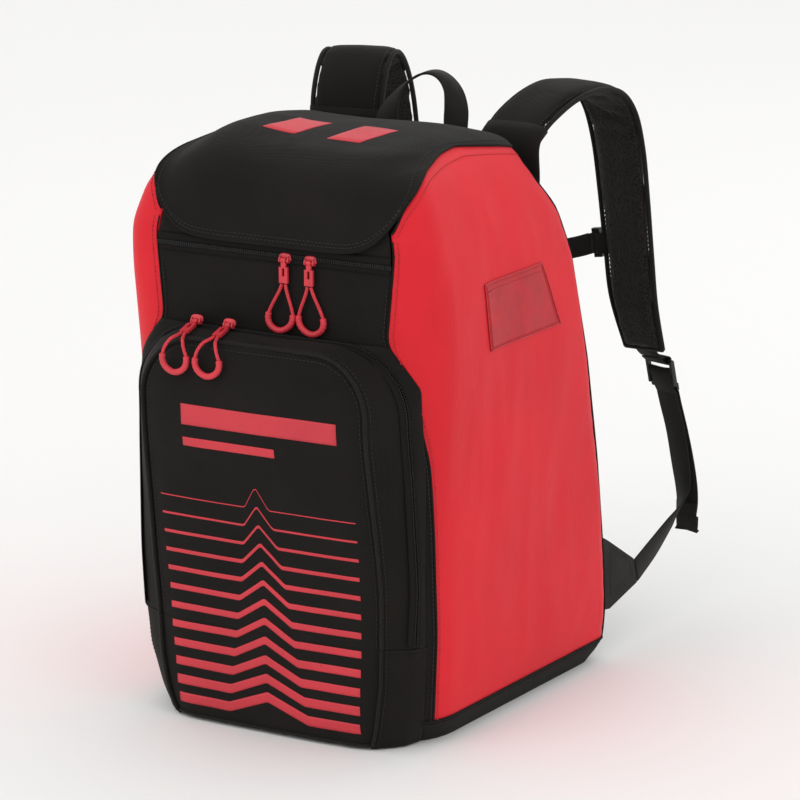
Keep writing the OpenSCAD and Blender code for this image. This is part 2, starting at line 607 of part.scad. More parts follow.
shoulder_pad(PAD_LEFT, pad_side_left);  // shoulder_pad_left
shoulder_pad(PAD_RIGHT, pad_side_right);  // shoulder_pad_right
lower_webbing(-1);  // lower_webbing_left
lower_webbing(1);  // lower_webbing_right
webbing_tail(-1);  // webbing_tail_left
webbing_tail(1);  // webbing_tail_right
ladder_lock(-1);  // ladder_lock_left
ladder_lock(1);  // ladder_lock_right
lock_loop(-1);  // lock_loop_left
lock_loop(1);  // lock_loop_right
handle_patches();
chest_slider(-1);  // chest_slider_left
chest_slider(1);  // chest_slider_right
chest_webbing(-1);  // chest_webbing_left
chest_webbing(1);  // chest_webbing_right
chest_buckle_male();
chest_buckle_female();
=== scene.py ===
"""Ski boot backpack: fabric, webbing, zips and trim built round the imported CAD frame."""

import math

import bpy
import numpy as np
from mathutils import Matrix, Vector, noise
from mathutils.bvhtree import BVHTree


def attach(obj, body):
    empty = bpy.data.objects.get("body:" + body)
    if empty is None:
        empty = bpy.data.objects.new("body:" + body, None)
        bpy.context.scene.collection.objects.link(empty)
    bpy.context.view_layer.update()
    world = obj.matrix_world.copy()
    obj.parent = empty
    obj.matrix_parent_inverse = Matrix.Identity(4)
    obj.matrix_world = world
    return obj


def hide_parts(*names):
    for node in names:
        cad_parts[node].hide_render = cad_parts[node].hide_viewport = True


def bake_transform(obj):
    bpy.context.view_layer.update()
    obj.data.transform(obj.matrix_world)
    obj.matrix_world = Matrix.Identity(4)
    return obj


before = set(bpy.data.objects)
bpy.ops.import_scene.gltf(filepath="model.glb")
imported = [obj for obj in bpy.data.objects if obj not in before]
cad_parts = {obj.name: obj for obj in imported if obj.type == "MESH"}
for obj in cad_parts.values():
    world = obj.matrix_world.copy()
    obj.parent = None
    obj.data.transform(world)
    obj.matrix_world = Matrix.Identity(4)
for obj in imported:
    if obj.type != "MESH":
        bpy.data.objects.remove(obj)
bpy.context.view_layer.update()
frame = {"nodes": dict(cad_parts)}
MM = 0.001

# ---------------------------------------------------------------- driving dimensions, mm
BODY_H = 520.0
HALF_W = 172.0
FRONT_Y = 132.0
BACK_Y = 195.0
POCKET_Y = 176.0
POCKET_SEAM_Z = 356.0
POCKET_FOLD_Z = 96.0
MAIN_ZIP_Z = 430.0
WALL_Z0 = 22.3
WEB_W = 25.0
CHEST_Y = 319.0


# ---------------------------------------------------------------- camera
def add_camera():
    """Camera at the photograph's viewing angle: from the front right, a little above."""
    target, distance = Vector((0.018, 0.060, 0.261)), 3.364
    azimuth, elevation = math.radians(29), math.radians(14.5)
    back = Vector((math.sin(azimuth) * math.cos(elevation), -math.cos(azimuth) * math.cos(elevation),
                   math.sin(elevation)))
    data = bpy.data.cameras.new("camera")
    data.lens = 166.5
    data.sensor_width = 36
    data.clip_end = 50
    camera = bpy.data.objects.new("camera", data)
    bpy.context.scene.collection.objects.link(camera)
    camera.location = target + back * distance
    camera.rotation_mode = "QUATERNION"
    camera.rotation_quaternion = (-back).to_track_quat("-Z", "Y")
    bpy.context.scene.camera = camera


add_camera()


# ---------------------------------------------------------------- materials
class Nodes:
    """Small helper that builds a material's node tree."""

    def __init__(self, name):
        self.material = bpy.data.materials.new(name)
        self.material.use_nodes = True
        self.tree = self.material.node_tree
        self.tree.nodes.clear()
        out = self.tree.nodes.new("ShaderNodeOutputMaterial")
        self.shader = self.tree.nodes.new("ShaderNodeBsdfPrincipled")
        self.tree.links.new(self.shader.outputs[0], out.inputs[0])
        self.coords = self.tree.nodes.new("ShaderNodeTexCoord").outputs["Object"]

    def link(self, a, b):
        self.tree.links.new(a, b)

    def noise(self, scale, detail=2.0, stretch=(1, 1, 1), rough=0.5):
        mapping = self.tree.nodes.new("ShaderNodeMapping")
        mapping.inputs["Scale"].default_value = stretch
        self.link(self.coords, mapping.inputs[0])
        node = self.tree.nodes.new("ShaderNodeTexNoise")
        node.inputs["Scale"].default_value = scale
        node.inputs["Detail"].default_value = detail
        node.inputs["Roughness"].default_value = rough
        self.link(mapping.outputs[0], node.inputs["Vector"])
        return node.outputs["Fac"]

    def voronoi(self, scale):
        node = self.tree.nodes.new("ShaderNodeTexVoronoi")
        node.inputs["Scale"].default_value = scale
        self.link(self.coords, node.inputs["Vector"])
        return node.outputs["Distance"]

    def wave(self, pitch, turn=(0, 0, 0), distortion=0.0):
        mapping = self.tree.nodes.new("ShaderNodeMapping")
        mapping.inputs["Rotation"].default_value = turn
        self.link(self.coords, mapping.inputs[0])
        node = self.tree.nodes.new("ShaderNodeTexWave")
        node.inputs["Scale"].default_value = 0.314 / pitch
        node.inputs["Distortion"].default_value = distortion
        self.link(mapping.outputs[0], node.inputs["Vector"])
        return node.outputs["Fac"]

    def math(self, kind, a, b):
        node = self.tree.nodes.new("ShaderNodeMath")
        node.operation = kind
        for value, socket in ((a, node.inputs[0]), (b, node.inputs[1])):
            if isinstance(value, (int, float)):
                socket.default_value = value
            else:
                self.link(value, socket)
        return node.outputs[0]

    def ramp(self, value, low, high, out_low=0.0, out_high=1.0):
        node = self.tree.nodes.new("ShaderNodeMapRange")
        for name, number in (("From Min", low), ("From Max", high), ("To Min", out_low), ("To Max", out_high)):
            node.inputs[name].default_value = number
        self.link(value, node.inputs["Value"])
        return node.outputs[0]

    def mix(self, factor, a, b):
        node = self.tree.nodes.new("ShaderNodeMix")
        node.data_type = "RGBA"
        self.link(factor, node.inputs["Factor"])
        for value, socket in ((a, node.inputs["A"]), (b, node.inputs["B"])):
            if isinstance(value, tuple):
                socket.default_value = (*value, 1)
            else:
                self.link(value, socket)
        return node.outputs["Result"]

    def bump(self, height, depth, below=None):
        node = self.tree.nodes.new("ShaderNodeBump")
        node.inputs["Distance"].default_value = depth
        node.inputs["Strength"].default_value = 1.0
        self.link(height, node.inputs["Height"])
        if below is not None:
            self.link(below, node.inputs["Normal"])
        return node.outputs[0]

    def finish(self, color, rough, normal=None, **fixed):
        self.link(color, self.shader.inputs["Base Color"])
        self.link(rough, self.shader.inputs["Roughness"])
        if normal is not None:
            self.link(normal, self.shader.inputs["Normal"])
        for name, value in fixed.items():
            self.shader.inputs[name.replace("_", " ")].default_value = value
        return self.material


def shade(color, factor):
    return tuple(min(1.0, c * factor) for c in color)


def woven(name, color, pitch, depth, rough=0.8, contrast=0.35, worn=1.25, **fixed):
    """Plain-weave cloth: two crossed thread directions, blotchy tone and lighter rubbed spots."""
    n = Nodes(name)
    across = n.wave(pitch, (0, 0, 0.5))
    up = n.wave(pitch, (0, math.pi / 2, 0.2))
    weave = n.math("MULTIPLY", across, up)
    tone = n.noise(14, 4)
    rubbed = n.ramp(n.noise(3.2, 6, rough=0.65), 0.45, 0.8)
    base = n.mix(n.ramp(tone, 0.3, 0.7), shade(color, 1 - contrast), shade(color, 1 + contrast))
    base = n.mix(n.math("MULTIPLY", rubbed, 0.5), base, shade(color, worn))
    base = n.mix(n.math("MULTIPLY", weave, 0.35), base, shade(color, 1 + 2 * contrast))
    folds = n.bump(n.noise(26, 3), 0.0012)
    return n.finish(base, n.ramp(tone, 0.2, 0.8, rough - 0.08, rough + 0.1), n.bump(weave, depth, folds),
                    **fixed)


def coated(name, color):
    """Coated red polyester: satin, fine cloth grain under the coat, soft handling creases."""
    n = Nodes(name)
    grain = n.math("MULTIPLY", n.wave(0.0012, (0, 0, 0.5)), n.wave(0.0012, (0, math.pi / 2, 0.2)))
    blotch = n.noise(5, 5, rough=0.6)
    crease = n.ramp(n.noise(9, 6, (1, 1, 0.35), 0.7), 0.46, 0.54)
    scuff = n.ramp(n.noise(60, 8, rough=0.75), 0.6, 0.8)
    base = n.mix(n.ramp(blotch, 0.3, 0.7), shade(color, 0.88), shade(color, 1.08))
    base = n.mix(n.math("MULTIPLY", scuff, 0.25), base, (0.62, 0.10, 0.11))
    height = n.math("ADD", n.math("MULTIPLY", crease, 0.25), n.noise(34, 3))
    return n.finish(base, n.ramp(blotch, 0.2, 0.8, 0.42, 0.58), n.bump(grain, 0.00007, n.bump(height, 0.0007)),
                    Specular_IOR_Level=0.12, Sheen_Weight=0.02, Sheen_Roughness=0.5)


def air_mesh(name, color):
    """Spacer mesh: open round cells with a thread rim; the cells are painted darker as shade in the holes, the rims
    lighter.
    """
    n = Nodes(name)
    cells = n.ramp(n.voronoi(420), 0.15, 0.6)
    # painted shade: the open cells darkened to 0.45 of the colour as shade in the holes, the thread rims lightened to
    # 1.9
    base = n.mix(cells, shade(color, 0.45), shade(color, 1.9))
    base = n.mix(n.math("MULTIPLY", n.noise(22, 4), 0.4), base, shade(color, 1.3))
    return n.finish(base, n.ramp(cells, 0, 1, 0.95, 0.75), n.bump(cells, 0.0007), Sheen_Weight=0.04,
                    Specular_IOR_Level=0.15)


def webbing(name, color):
    """Webbing: fine ribs with a herringbone shift."""
    n = Nodes(name)
    ribs = n.wave(0.0014, (0.6, 0.75, 0.2), 0.6)
    cross = n.wave(0.0021, (-0.6, 0.75, -0.3), 0.6)
    weave = n.math("MAXIMUM", ribs, cross)
    tone = n.noise(30, 4)
    base = n.mix(weave, shade(color, 0.7), shade(color, 1.8))
    base = n.mix(n.math("MULTIPLY", tone, 0.4), base, shade(color, 1.5))
    return n.finish(base, n.ramp(tone, 0.2, 0.8, 0.62, 0.82), n.bump(weave, 0.00025), Sheen_Weight=0.03,
                    Specular_IOR_Level=0.15)


def moulded(name, color, rough, grain=900.0, depth=0.00004, **fixed):
    """Moulded plastic or rubber with a fine spark-eroded grain and lighter rubbed spots."""
    n = Nodes(name)
    tone = n.noise(45, 4)
    fine = n.noise(grain, 3)
    rubbed = n.ramp(n.noise(120, 6), 0.55, 0.75)
    base = n.mix(n.ramp(tone, 0.3, 0.7), shade(color, 0.85), shade(color, 1.12))
    base = n.mix(n.math("MULTIPLY", rubbed, 0.3), base, shade(color, 1.5))
    return n.finish(base, n.ramp(tone, 0.2, 0.8, rough - 0.06, rough + 0.08), n.bump(fine, depth), **fixed)


def braided(name, color):
    n = Nodes(name)
    braid = n.math("MAXIMUM", n.wave(0.0016, (0.7, 0.7, 0)), n.wave(0.0016, (-0.7, 0.7, 0)))
    base = n.mix(braid, shade(color, 0.7), shade(color, 1.2))
    return n.finish(base, n.ramp(n.noise(60), 0.2, 0.8, 0.55, 0.75), n.bump(braid, 0.0003))


def print_ink(name, color):
    """Screen-printed ink: thin and matt, with the cloth's weave and small gaps showing."""
    n = Nodes(name)
    weave = n.math("MULTIPLY", n.wave(0.0011, (0, 0, 0.5)), n.wave(0.0011, (0, math.pi / 2, 0.2)))
    gaps = n.ramp(n.noise(420, 4), 0.66, 0.74)
    base = n.mix(n.ramp(n.noise(12, 4), 0.3, 0.7), shade(color, 0.9), shade(color, 1.06))
    base = n.mix(n.math("MULTIPLY", gaps, 0.5), base, shade(color, 0.35))
    return n.finish(base, n.ramp(gaps, 0, 1, 0.55, 0.8), n.bump(weave, 0.00008))


RED = (0.68, 0.020, 0.031)
CORAL = (0.60, 0.028, 0.044)
BLACK = (0.0080, 0.0066, 0.0056)

MATERIALS = {
    "red_tarpaulin": coated("red_tarpaulin", RED),
    "black_fabric": woven("black_fabric", BLACK, 0.0011, 0.00012, Sheen_Weight=0.025, Sheen_Roughness=0.6,
                          Specular_IOR_Level=0.12),
    "air_mesh": air_mesh("air_mesh", (0.011, 0.0095, 0.009)),
    "webbing": webbing("webbing", (0.0075, 0.0065, 0.006)),
    "zip_tape": woven("zip_tape", (0.007, 0.006, 0.0055), 0.0007, 0.0001, Specular_IOR_Level=0.15),
    "coral_print": print_ink("coral_print", CORAL),
    "window_film": moulded("window_film", (0.46, 0.012, 0.020), 0.42, 60, 0.0002, Specular_IOR_Level=0.2,
                           Coat_Weight=0.08, Coat_Roughness=0.25),
    "slider_metal": moulded("slider_metal", CORAL, 0.36, 300, 0.00003, Coat_Weight=0.3),
    "pull_rubber": moulded("pull_rubber", CORAL, 0.5, 700, 0.00005),
    "pull_cord": braided("pull_cord", CORAL),
    "black_plastic": moulded("black_plastic", (0.010, 0.010, 0.010), 0.42, Specular_IOR_Level=0.35),
    "stiffener": moulded("stiffener", (0.05, 0.05, 0.05), 0.5),
    "thread_black": braided("thread_black", (0.010, 0.009, 0.0085)),
    "thread_red": braided("thread_red", (0.50, 0.020, 0.03)),
    "zip_teeth": moulded("zip_teeth", (0.010, 0.009, 0.009), 0.4, Specular_IOR_Level=0.3),
    "inside_lining": woven("inside_lining", (0.035, 0.033, 0.032), 0.0008, 0.0001),
}


# ---------------------------------------------------------------- mesh helpers
def add_piece(name, verts, faces, material, body=None, replaces=(), smooth=True):
    """A mesh from points in mm, riding on a body."""
    mesh = bpy.data.meshes.new(name)
    mesh.from_pydata([tuple(v) for v in np.asarray(verts, float) * MM], [], [tuple(f) for f in faces])
    mesh.validate()
    mesh.polygons.foreach_set("use_smooth", [smooth] * len(mesh.polygons))
    mesh.materials.append(MATERIALS[material])
    piece = bpy.data.objects.new(name, mesh)
    bpy.context.scene.collection.objects.link(piece)
    if replaces:
        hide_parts(*replaces)
    if body:
        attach(piece, body)
    return piece


def orient(verts, faces):
    """Faces of a closed mesh, turned to look outward."""
    v = np.asarray(verts, float)
    volume = 0.0
    for f in faces:
        for k in range(1, len(f) - 1):
            volume += float(np.dot(v[f[0]], np.cross(v[f[k]], v[f[k + 1]])))
    return faces if volume > 0 else [tuple(reversed(f)) for f in faces]


def grid_faces(n, m, start=0, flip=False):
    faces = []
    for i in range(n - 1):
        for j in range(m - 1):
            a = start + i * m + j
            face = (a, a + 1, a + m + 1, a + m)
            faces.append(tuple(reversed(face)) if flip else face)
    return faces


def sheet_mesh(front, back):
    """Closed thin sheet between two grids of points."""
    n, m = len(front), len(front[0])
    verts = [p for row in front for p in row] + [p for row in back for p in row]
    s = n * m
    faces = grid_faces(n, m) + grid_faces(n, m, s, flip=True)
    rim = [j for j in range(m)] + [i * m + m - 1 for i in range(1, n)]
    rim += [(n - 1) * m + j for j in range(m - 2, -1, -1)] + [i * m for i in range(n - 2, 0, -1)]
    for k, a in enumerate(rim):
        b = rim[(k + 1) % len(rim)]
        faces.append((b, a, s + a, s + b))
    return verts, orient(verts, faces)


def sheet_piece(name, point, nu, nv, thick, material, body=None, replaces=()):
    """Sheet from point(u, v, inset), with u and v from 0 to 1 and inset going into the bag."""
    us, vs = np.linspace(0, 1, nu), np.linspace(0, 1, nv)
    front = [[point(u, v, 0.0) for u in us] for v in vs]
    back = [[point(u, v, thick) for u in us] for v in vs]
    return add_piece(name, *sheet_mesh(front, back), material, body, replaces)


def smooth_path(points, k=6):
    """Catmull-Rom curve through the points, k steps between neighbours."""
    p = [np.asarray(q, float) for q in points]
    out = []
    for i in range(len(p) - 1):
        a, b, c, d = p[max(i - 1, 0)], p[i], p[i + 1], p[min(i + 2, len(p) - 1)]
        for j in range(k + (i == len(p) - 2)):
            t = j / k
            out.append(b + 0.5 * t * ((c - a) + t * ((2 * a - 5 * b + 4 * c - d) + t * (3 * b - a - 3 * c + d))))
    return out


def unit(v):
    v = np.asarray(v, float)
    return v / max(np.linalg.norm(v), 1e-9)


def tangents(path):
    return [unit(path[min(i + 1, len(path) - 1)] - path[max(i - 1, 0)]) for i in range(len(path))]


def tube_mesh(path, radius, sides=8, flat=1.0, normals=None):
    """Tube along a path. flat below 1 squashes it along the given normals."""
    path = [np.asarray(p, float) for p in path]
    verts, faces = [], []
    across = None
    for i, (p, t) in enumerate(zip(path, tangents(path))):
        if normals is not None:
            n = unit(normals[i] - t * np.dot(normals[i], t))
        else:
            n = across if across is not None else unit(np.cross(t, (0.31, 0.2, 0.93)))
            n = unit(n - t * np.dot(n, t))
            across = n
        b = np.cross(t, n)
        for k in range(sides):
            a = 2 * math.pi * k / sides
            verts.append(p + radius * (n * math.cos(a) * flat + b * math.sin(a)))
    last = (len(path) - 1) * sides
    for i in range(len(path) - 1):
        for k in range(sides):
            a, b = i * sides + k, i * sides + (k + 1) % sides
            faces.append((a, b, b + sides, a + sides))
    faces.append(tuple(range(sides - 1, -1, -1)))
    faces.append(tuple(last + k for k in range(sides)))
    return verts, orient(verts, faces)


def band_mesh(path, sides, widths, thick, edge=0.5, shift=0.0):
    """Flat webbing along a path, with rounded edges. sides give the width direction."""
    path = [np.asarray(p, float) for p in path]
    verts, faces = [], []
    for i, (p, t) in enumerate(zip(path, tangents(path))):
        n = unit(np.cross(t, sides[i]))
        s = unit(np.cross(n, t))
        w, h = widths[i] / 2, thick / 2
        for x, y in ((-w, -h * 0.3), (-w + edge, -h), (0, -h), (w - edge, -h), (w, -h * 0.3),
                     (w, h * 0.3), (w - edge, h), (0, h), (-w + edge, h), (-w, h * 0.3)):
            verts.append(p + s * x + n * (y + shift))
    m = 10
    for i in range(len(path) - 1):
        for k in range(m):
            a, b = i * m + k, i * m + (k + 1) % m
            faces.append((a, b, b + m, a + m))
    faces.append(tuple(range(m - 1, -1, -1)))
    faces.append(tuple((len(path) - 1) * m + k for k in range(m)))
    return verts, orient(verts, faces)


class Parts:
    """Collects many small closed meshes into one piece."""

    def __init__(self):
        self.verts, self.faces = [], []

    def add(self, mesh):
        start = len(self.verts)
        self.verts += list(mesh[0])
        self.faces += [tuple(start + i for i in f) for f in mesh[1]]

    def piece(self, name, material, body=None, replaces=()):
        return add_piece(name, self.verts, self.faces, material, body, replaces)


def resample(path, step):
    """Points a fixed distance apart along a path."""
    path = np.asarray(path, float)
    s = np.r_[0, np.cumsum(np.linalg.norm(np.diff(path, axis=0), axis=1))]
    count = max(2, int(s[-1] / step) + 1)
    at = np.linspace(0, s[-1], count)
    return np.stack([np.interp(at, s, path[:, k]) for k in range(3)], 1)


def sew(parts, path, normals, pitch=4.0, length=2.7, radius=0.42, lift=0.15):
    """Stitches along a path: short threads that dip into the cloth at both ends."""
    path = np.asarray(path, float)
    s = np.r_[0, np.cumsum(np.linalg.norm(np.diff(path, axis=0), axis=1))]
    normals = np.asarray(normals, float)
    for a in np.arange(0.5, s[-1] - length, pitch):
        at = a + np.linspace(0, 1, 4) * length
        p = np.stack([np.interp(at, s, path[:, k]) for k in range(3)], 1)
        n = unit([np.interp(a, s, normals[:, k]) for k in range(3)])
        rise = np.array([-0.35, lift, lift, -0.35])
        parts.add(tube_mesh([q + n * r for q, r in zip(p, rise)], radius, 5))


def zip_teeth(parts, path, normals, sides, reach=2.0, pitch=2.1):
    """One half of a zip's teeth: blunt blocks that stick out sideways from the tape."""
    path, normals, sides = (np.asarray(a, float) for a in (path, normals, sides))
    s = np.r_[0, np.cumsum(np.linalg.norm(np.diff(path, axis=0), axis=1))]
    for a in np.arange(0.5, s[-1], pitch):
        p, n, w = (np.array([np.interp(a, s, v[:, k]) for k in range(3)]) for v in (path, normals, sides))
        n, w = unit(n), unit(w)
        t = unit(np.cross(n, w))
        verts = []
        for x, size in ((0.0, 0.62), (reach * 0.7, 0.62), (reach, 0.42)):
            for y, z in ((-1, -1), (1, -1), (1, 1), (-1, 1)):
                verts.append(p + w * x + t * y * size + n * (z * 0.6 + 0.3))
        faces = [(3, 2, 1, 0), (8, 9, 10, 11)]
        for r in (0, 4):
            faces += [(r + k, r + (k + 1) % 4, r + 4 + (k + 1) % 4, r + 4 + k) for k in range(4)]
        parts.add((verts, orient(verts, faces)))


# ---------------------------------------------------------------- shell shape, as in the CAD source
def soft_table(table, sigma=0.012):
    """A table of [place, value] made smooth, so that the cloth has no sharp level creases."""
    xs = np.linspace(-0.1, 1.1, 1201)
    ys = np.interp(xs, [a for a, _ in table], [b for _, b in table])
    k = np.exp(-0.5 * (np.arange(-60, 61) * 0.001 / sigma) ** 2)
    padded = np.r_[np.full(60, ys[0]), ys, np.full(60, ys[-1])]
    return xs, np.convolve(padded, k / k.sum(), "valid")


FRONT_W = soft_table([(0, .78), (.03, .83), (.1, .87), (.2, .89), (.58, .9), (.77, .907), (.85, .884),
                      (.92, .826), (.96, .756), (.985, .674), (1, .57)])
BACK_W = soft_table([(0, .9), (.03, .965), (.1, .99), (.39, 1), (.58, .99), (.77, .92), (.85, .86),
                     (.92, .762), (.96, .686), (.985, .616), (1, .535)])
FRONT_D = soft_table([(0, .82), (.03, .894), (.1, .97), (.3, 1), (.85, .992), (.92, .955), (.96, .88),
                      (.985, .77), (1, .62)])
BACK_D = soft_table([(0, .944), (.03, 1), (.1, .985), (.2, .954), (.39, .86), (.58, .76), (.77, .7),
                     (.85, .682), (.92, .667), (.96, .636), (.985, .574), (1, .47)])
FRONT_CUT = soft_table([(0, 50), (.58, 50), (.77, 40), (.85, 32), (1, 30)])
BACK_CUT = soft_table([(0, 20), (.77, 22), (.85, 32), (.92, 70), (1, 70)])
SEAM_Q = soft_table([(0, 1.65), (.5, 1.65), (.62, 1.5), (.664, 1.25), (.704, 1), (1, .97)], 0.010)
ARCH_Q = soft_table([(0, .97), (.12, 1.25), (.25, 1.8), (.4, 2.25), (.6, 2.6), (.8, 2.95), (1, 3.45)], 0.02)
ARCH_Z = soft_table([(0, .878), (.12, .925), (.25, .965), (.4, .985), (.6, .988), (.8, .976), (1, .952)], 0.03)


def look(table, x):
    return float(np.interp(x, table[0], table[1]))


def mix(a, b, t):
    return a + (b - a) * t


def curve3(a, b, c, t):
    return (1 - t) ** 2 * a + 2 * t * (1 - t) * b + t * t * c


def shell_pt(q, z, inset=0.0):
    """A point of the shell: q runs round the section from 0, front centre, to 5, back centre."""
    f = z / BODY_H
    sign = 1.0
    if q > 5:
        q, sign = 10 - q, -1.0
    if q < 0:
        q, sign = -q, -sign
    wf = HALF_W * look(FRONT_W, f) - inset
    wb = HALF_W * look(BACK_W, f) - inset
    yf = inset - FRONT_Y * look(FRONT_D, f)
    yb = BACK_Y * look(BACK_D, f) - inset
    cf, cb = look(FRONT_CUT, f), look(BACK_CUT, f)
    side = unit((wb - wf, yb - yf))
    front, back = np.array((wf, yf)), np.array((wb, yb))
    f1, b0 = front + side * cf, back - side * cb
    if q <= 1:
        p = mix(np.array((0, yf)), np.array((wf - cf, yf)), q)
    elif q <= 2:
        p = curve3(np.array((wf - cf, yf)), front, f1, q - 1)
    elif q <= 3:
        p = mix(f1, b0, q - 2)
    elif q <= 4:
        p = curve3(b0, back, np.array((wb - cb, yb)), q - 3)
    else:
        p = mix(np.array((wb - cb, yb)), np.array((0, yb)), q - 4)
    return np.array((sign * p[0], p[1], z))


def ripple(p, size, seed=0.0, tall=1.0):
    """Smooth noise from -1 to 1 at a point in mm; tall stretches it upward."""
    return noise.noise(Vector((p[0] / size + seed, p[1] / size - seed, p[2] / (size * tall) + 2 * seed)))


def arch_z(u):
    return BODY_H * look(ARCH_Z, u)


def arch_q(u):
    return look(ARCH_Q, u)


def seam_q(z):
    return look(SEAM_Q, z / BODY_H)


def front_edge_q(z):
    return mix(seam_q(z), arch_q(0), ((z - WALL_Z0) / (arch_z(0) - WALL_Z0)) ** 3)


def back_yz(z):
    return BACK_Y * look(BACK_D, z / BODY_H)


def shell_normal(q, z):
    a, b = shell_pt(q, z, 0), shell_pt(q, z, 1)
    return unit(a - b)


def side_place(u, v):
    z = mix(WALL_Z0 - 0.5, arch_z(u), v)
    return mix(mix(seam_q(z), 3.5, u), arch_q(u), v ** 3), z


def side_cloth(sign, q, z, u, v):
    """How far the side panel's cloth stands out of the plain shell, mm."""
    p = shell_pt(q, z)
    free = min(1.0, 8 * u, 8 * (1 - u), 10 * v, 10 * (1 - v))
    seam = math.exp(-min(u, 1 - u) * 22) + math.exp(-min(v, 1 - v) * 34)
    slow = ripple(p, 95, 3.1 * sign, 1.6) * 2.6 + ripple(p, 40, 7.7 * sign, 1.8) * 0.9
    pleat = abs(ripple(p, 30, 11.3 * sign, 4.0)) * -1.3
    pucker = 0.5 * math.sin(z / 3.1 + 3 * ripple(p, 30)) * min(1.0, seam) * 0.8
    return free * (slow + pleat + 0.8) + pucker * min(1.0, 20 * min(u, 1 - u, v, 1 - v) + 0.2)


def side_pt(sign, u, v, inset):
    q, z = side_place(u, v)
    p = shell_pt(q, z, inset - side_cloth(sign, q, z, u, v) * (1.0 if inset < 1 else 0.9))
    p[0] *= sign
    return p


def side_panels():
    for name, sign in (("left", -1), ("right", 1)):
        sheet_piece(f"side_{name}", lambda u, v, t: side_pt(sign, u, v, t), 70, 96, 2.2, "red_tarpaulin",
                    "bag", [f"side_panel_{name}"])


def front_cloth(x, z):
    p = (x, 0, z)
    return 1.6 * ripple(p, 60, 5.5, 0.6) + 0.7 * ripple(p, 24, 9.1, 0.5)


def front_pt(u, v, inset):
    z = mix(WALL_Z0 - 0.5, MAIN_ZIP_Z + 3, v)
    q = (2 * u - 1) * front_edge_q(z)
    free = min(1.0, 10 * u, 10 * (1 - u), 12 * (1 - v))
    return shell_pt(q, z, inset - free * front_cloth(100 * q, z))


def back_pt(u, v, inset):
    z = mix(WALL_Z0 - 0.5, BODY_H * 0.951, v)
    q = mix(3.5, 6.5, u)
    free = min(1.0, 8 * u, 8 * (1 - u), 8 * v, 8 * (1 - v))
    return shell_pt(q, z, inset - free * 0.9 * ripple((300 * u, 0, z), 40, 2.2))


def base_pieces():
    def wall(u, v, inset):
        z = mix(0.6, WALL_Z0, v)
        return shell_pt(10 * u - 5 + 1e-4, z, inset + 1.2 * (1 - v) ** 3)

    sheet_piece("base_wall", wall, 121, 8, 2.4, "black_fabric", "bag", ["base_panel"])

    def floor(u, v, inset):
        edge = shell_pt(10 * u - 5 + 1e-4, 1.0, 1.4)
        return np.array((edge[0] * v, mix(30.0, edge[1], v), 0.3 + inset))

    sheet_piece("base_floor", floor, 81, 10, 2.2, "black_fabric", "bag")


def shell_pieces():
    side_panels()
    sheet_piece("front_cloth", front_pt, 60, 80, 2.2, "black_fabric", "bag", ["front_panel"])
    sheet_piece("back_cloth", back_pt, 50, 70, 2.2, "black_fabric", "bag", ["back_panel"])
    base_pieces()


def seam_lines():
    """Bound seams between the shell's panels, with a row of stitches beside each."""
    binding, sewn, sewn_red = Parts(), Parts(), Parts()
    for sign in (-1, 1):
        front = [front_edge_q(z) for z in np.linspace(WALL_Z0, arch_z(0) - 6, 70)]
        zs = np.linspace(WALL_Z0, arch_z(0) - 6, 70)
        path = [shell_pt(sign * q, z, -0.1) for q, z in zip(front, zs)]
        normals = [shell_normal(sign * q, z) for q, z in zip(front, zs)]
        binding.add(tube_mesh(path, 1.1, 8, 0.6, normals))
        red = [shell_pt(sign * (q + 0.05), z, -0.9) for q, z in zip(front, zs)]
        sew(sewn_red, red, normals)
        black = [shell_pt(sign * (q - 0.04), z, -0.9) for q, z in zip(front, zs)][:-6]
        sew(sewn, black, normals[:-6])
        us = np.linspace(0.0, 1.0, 60)
        path = [shell_pt(sign * arch_q(u), arch_z(u) + 0.5, -0.2) for u in us]
        normals = [shell_normal(sign * arch_q(u), arch_z(u)) for u in us]
        binding.add(tube_mesh(path, 1.2, 8, 0.7, normals))
        below = [side_pt(sign, u, 0.985, -0.3) for u in us]
        sew(sewn_red, below[2:-2], normals[2:-2])
        zs = np.linspace(WALL_Z0, arch_z(1), 70)
        path = [shell_pt(sign * 3.5, z, -0.7) for z in zs]
        normals = [shell_normal(sign * 3.5, z) for z in zs]
        binding.add(tube_mesh(path, 1.5, 8, 0.7, normals))
    qs = np.linspace(-5, 4.99, 160)
    path = [shell_pt(q, WALL_Z0 - 0.2, -0.6) for q in qs]
    binding.add(tube_mesh(path, 1.4, 8, 0.7, [shell_normal(q, WALL_Z0) for q in qs]))
    under = [shell_pt(q, WALL_Z0 - 4, -0.2) for q in qs]
    sew(sewn, under, [shell_normal(q, WALL_Z0) for q in qs])
    binding.piece("shell_binding", "black_fabric", "bag")
    sewn.piece("shell_stitches", "thread_black", "bag")
    sewn_red.piece("panel_stitches", "thread_red", "bag")


def window_pt(u, v, out):
    q = mix(2.25, 2.75, u) + 0.08 * (1 - v) * u
    z = mix(344, 403, v)
    uu = (q - seam_q(z)) / (3.5 - seam_q(z))
    vv = (z - WALL_Z0) / (arch_z(uu) - WALL_Z0)
    return shell_pt(q, z, -out - side_cloth(1, q, z, uu, vv))


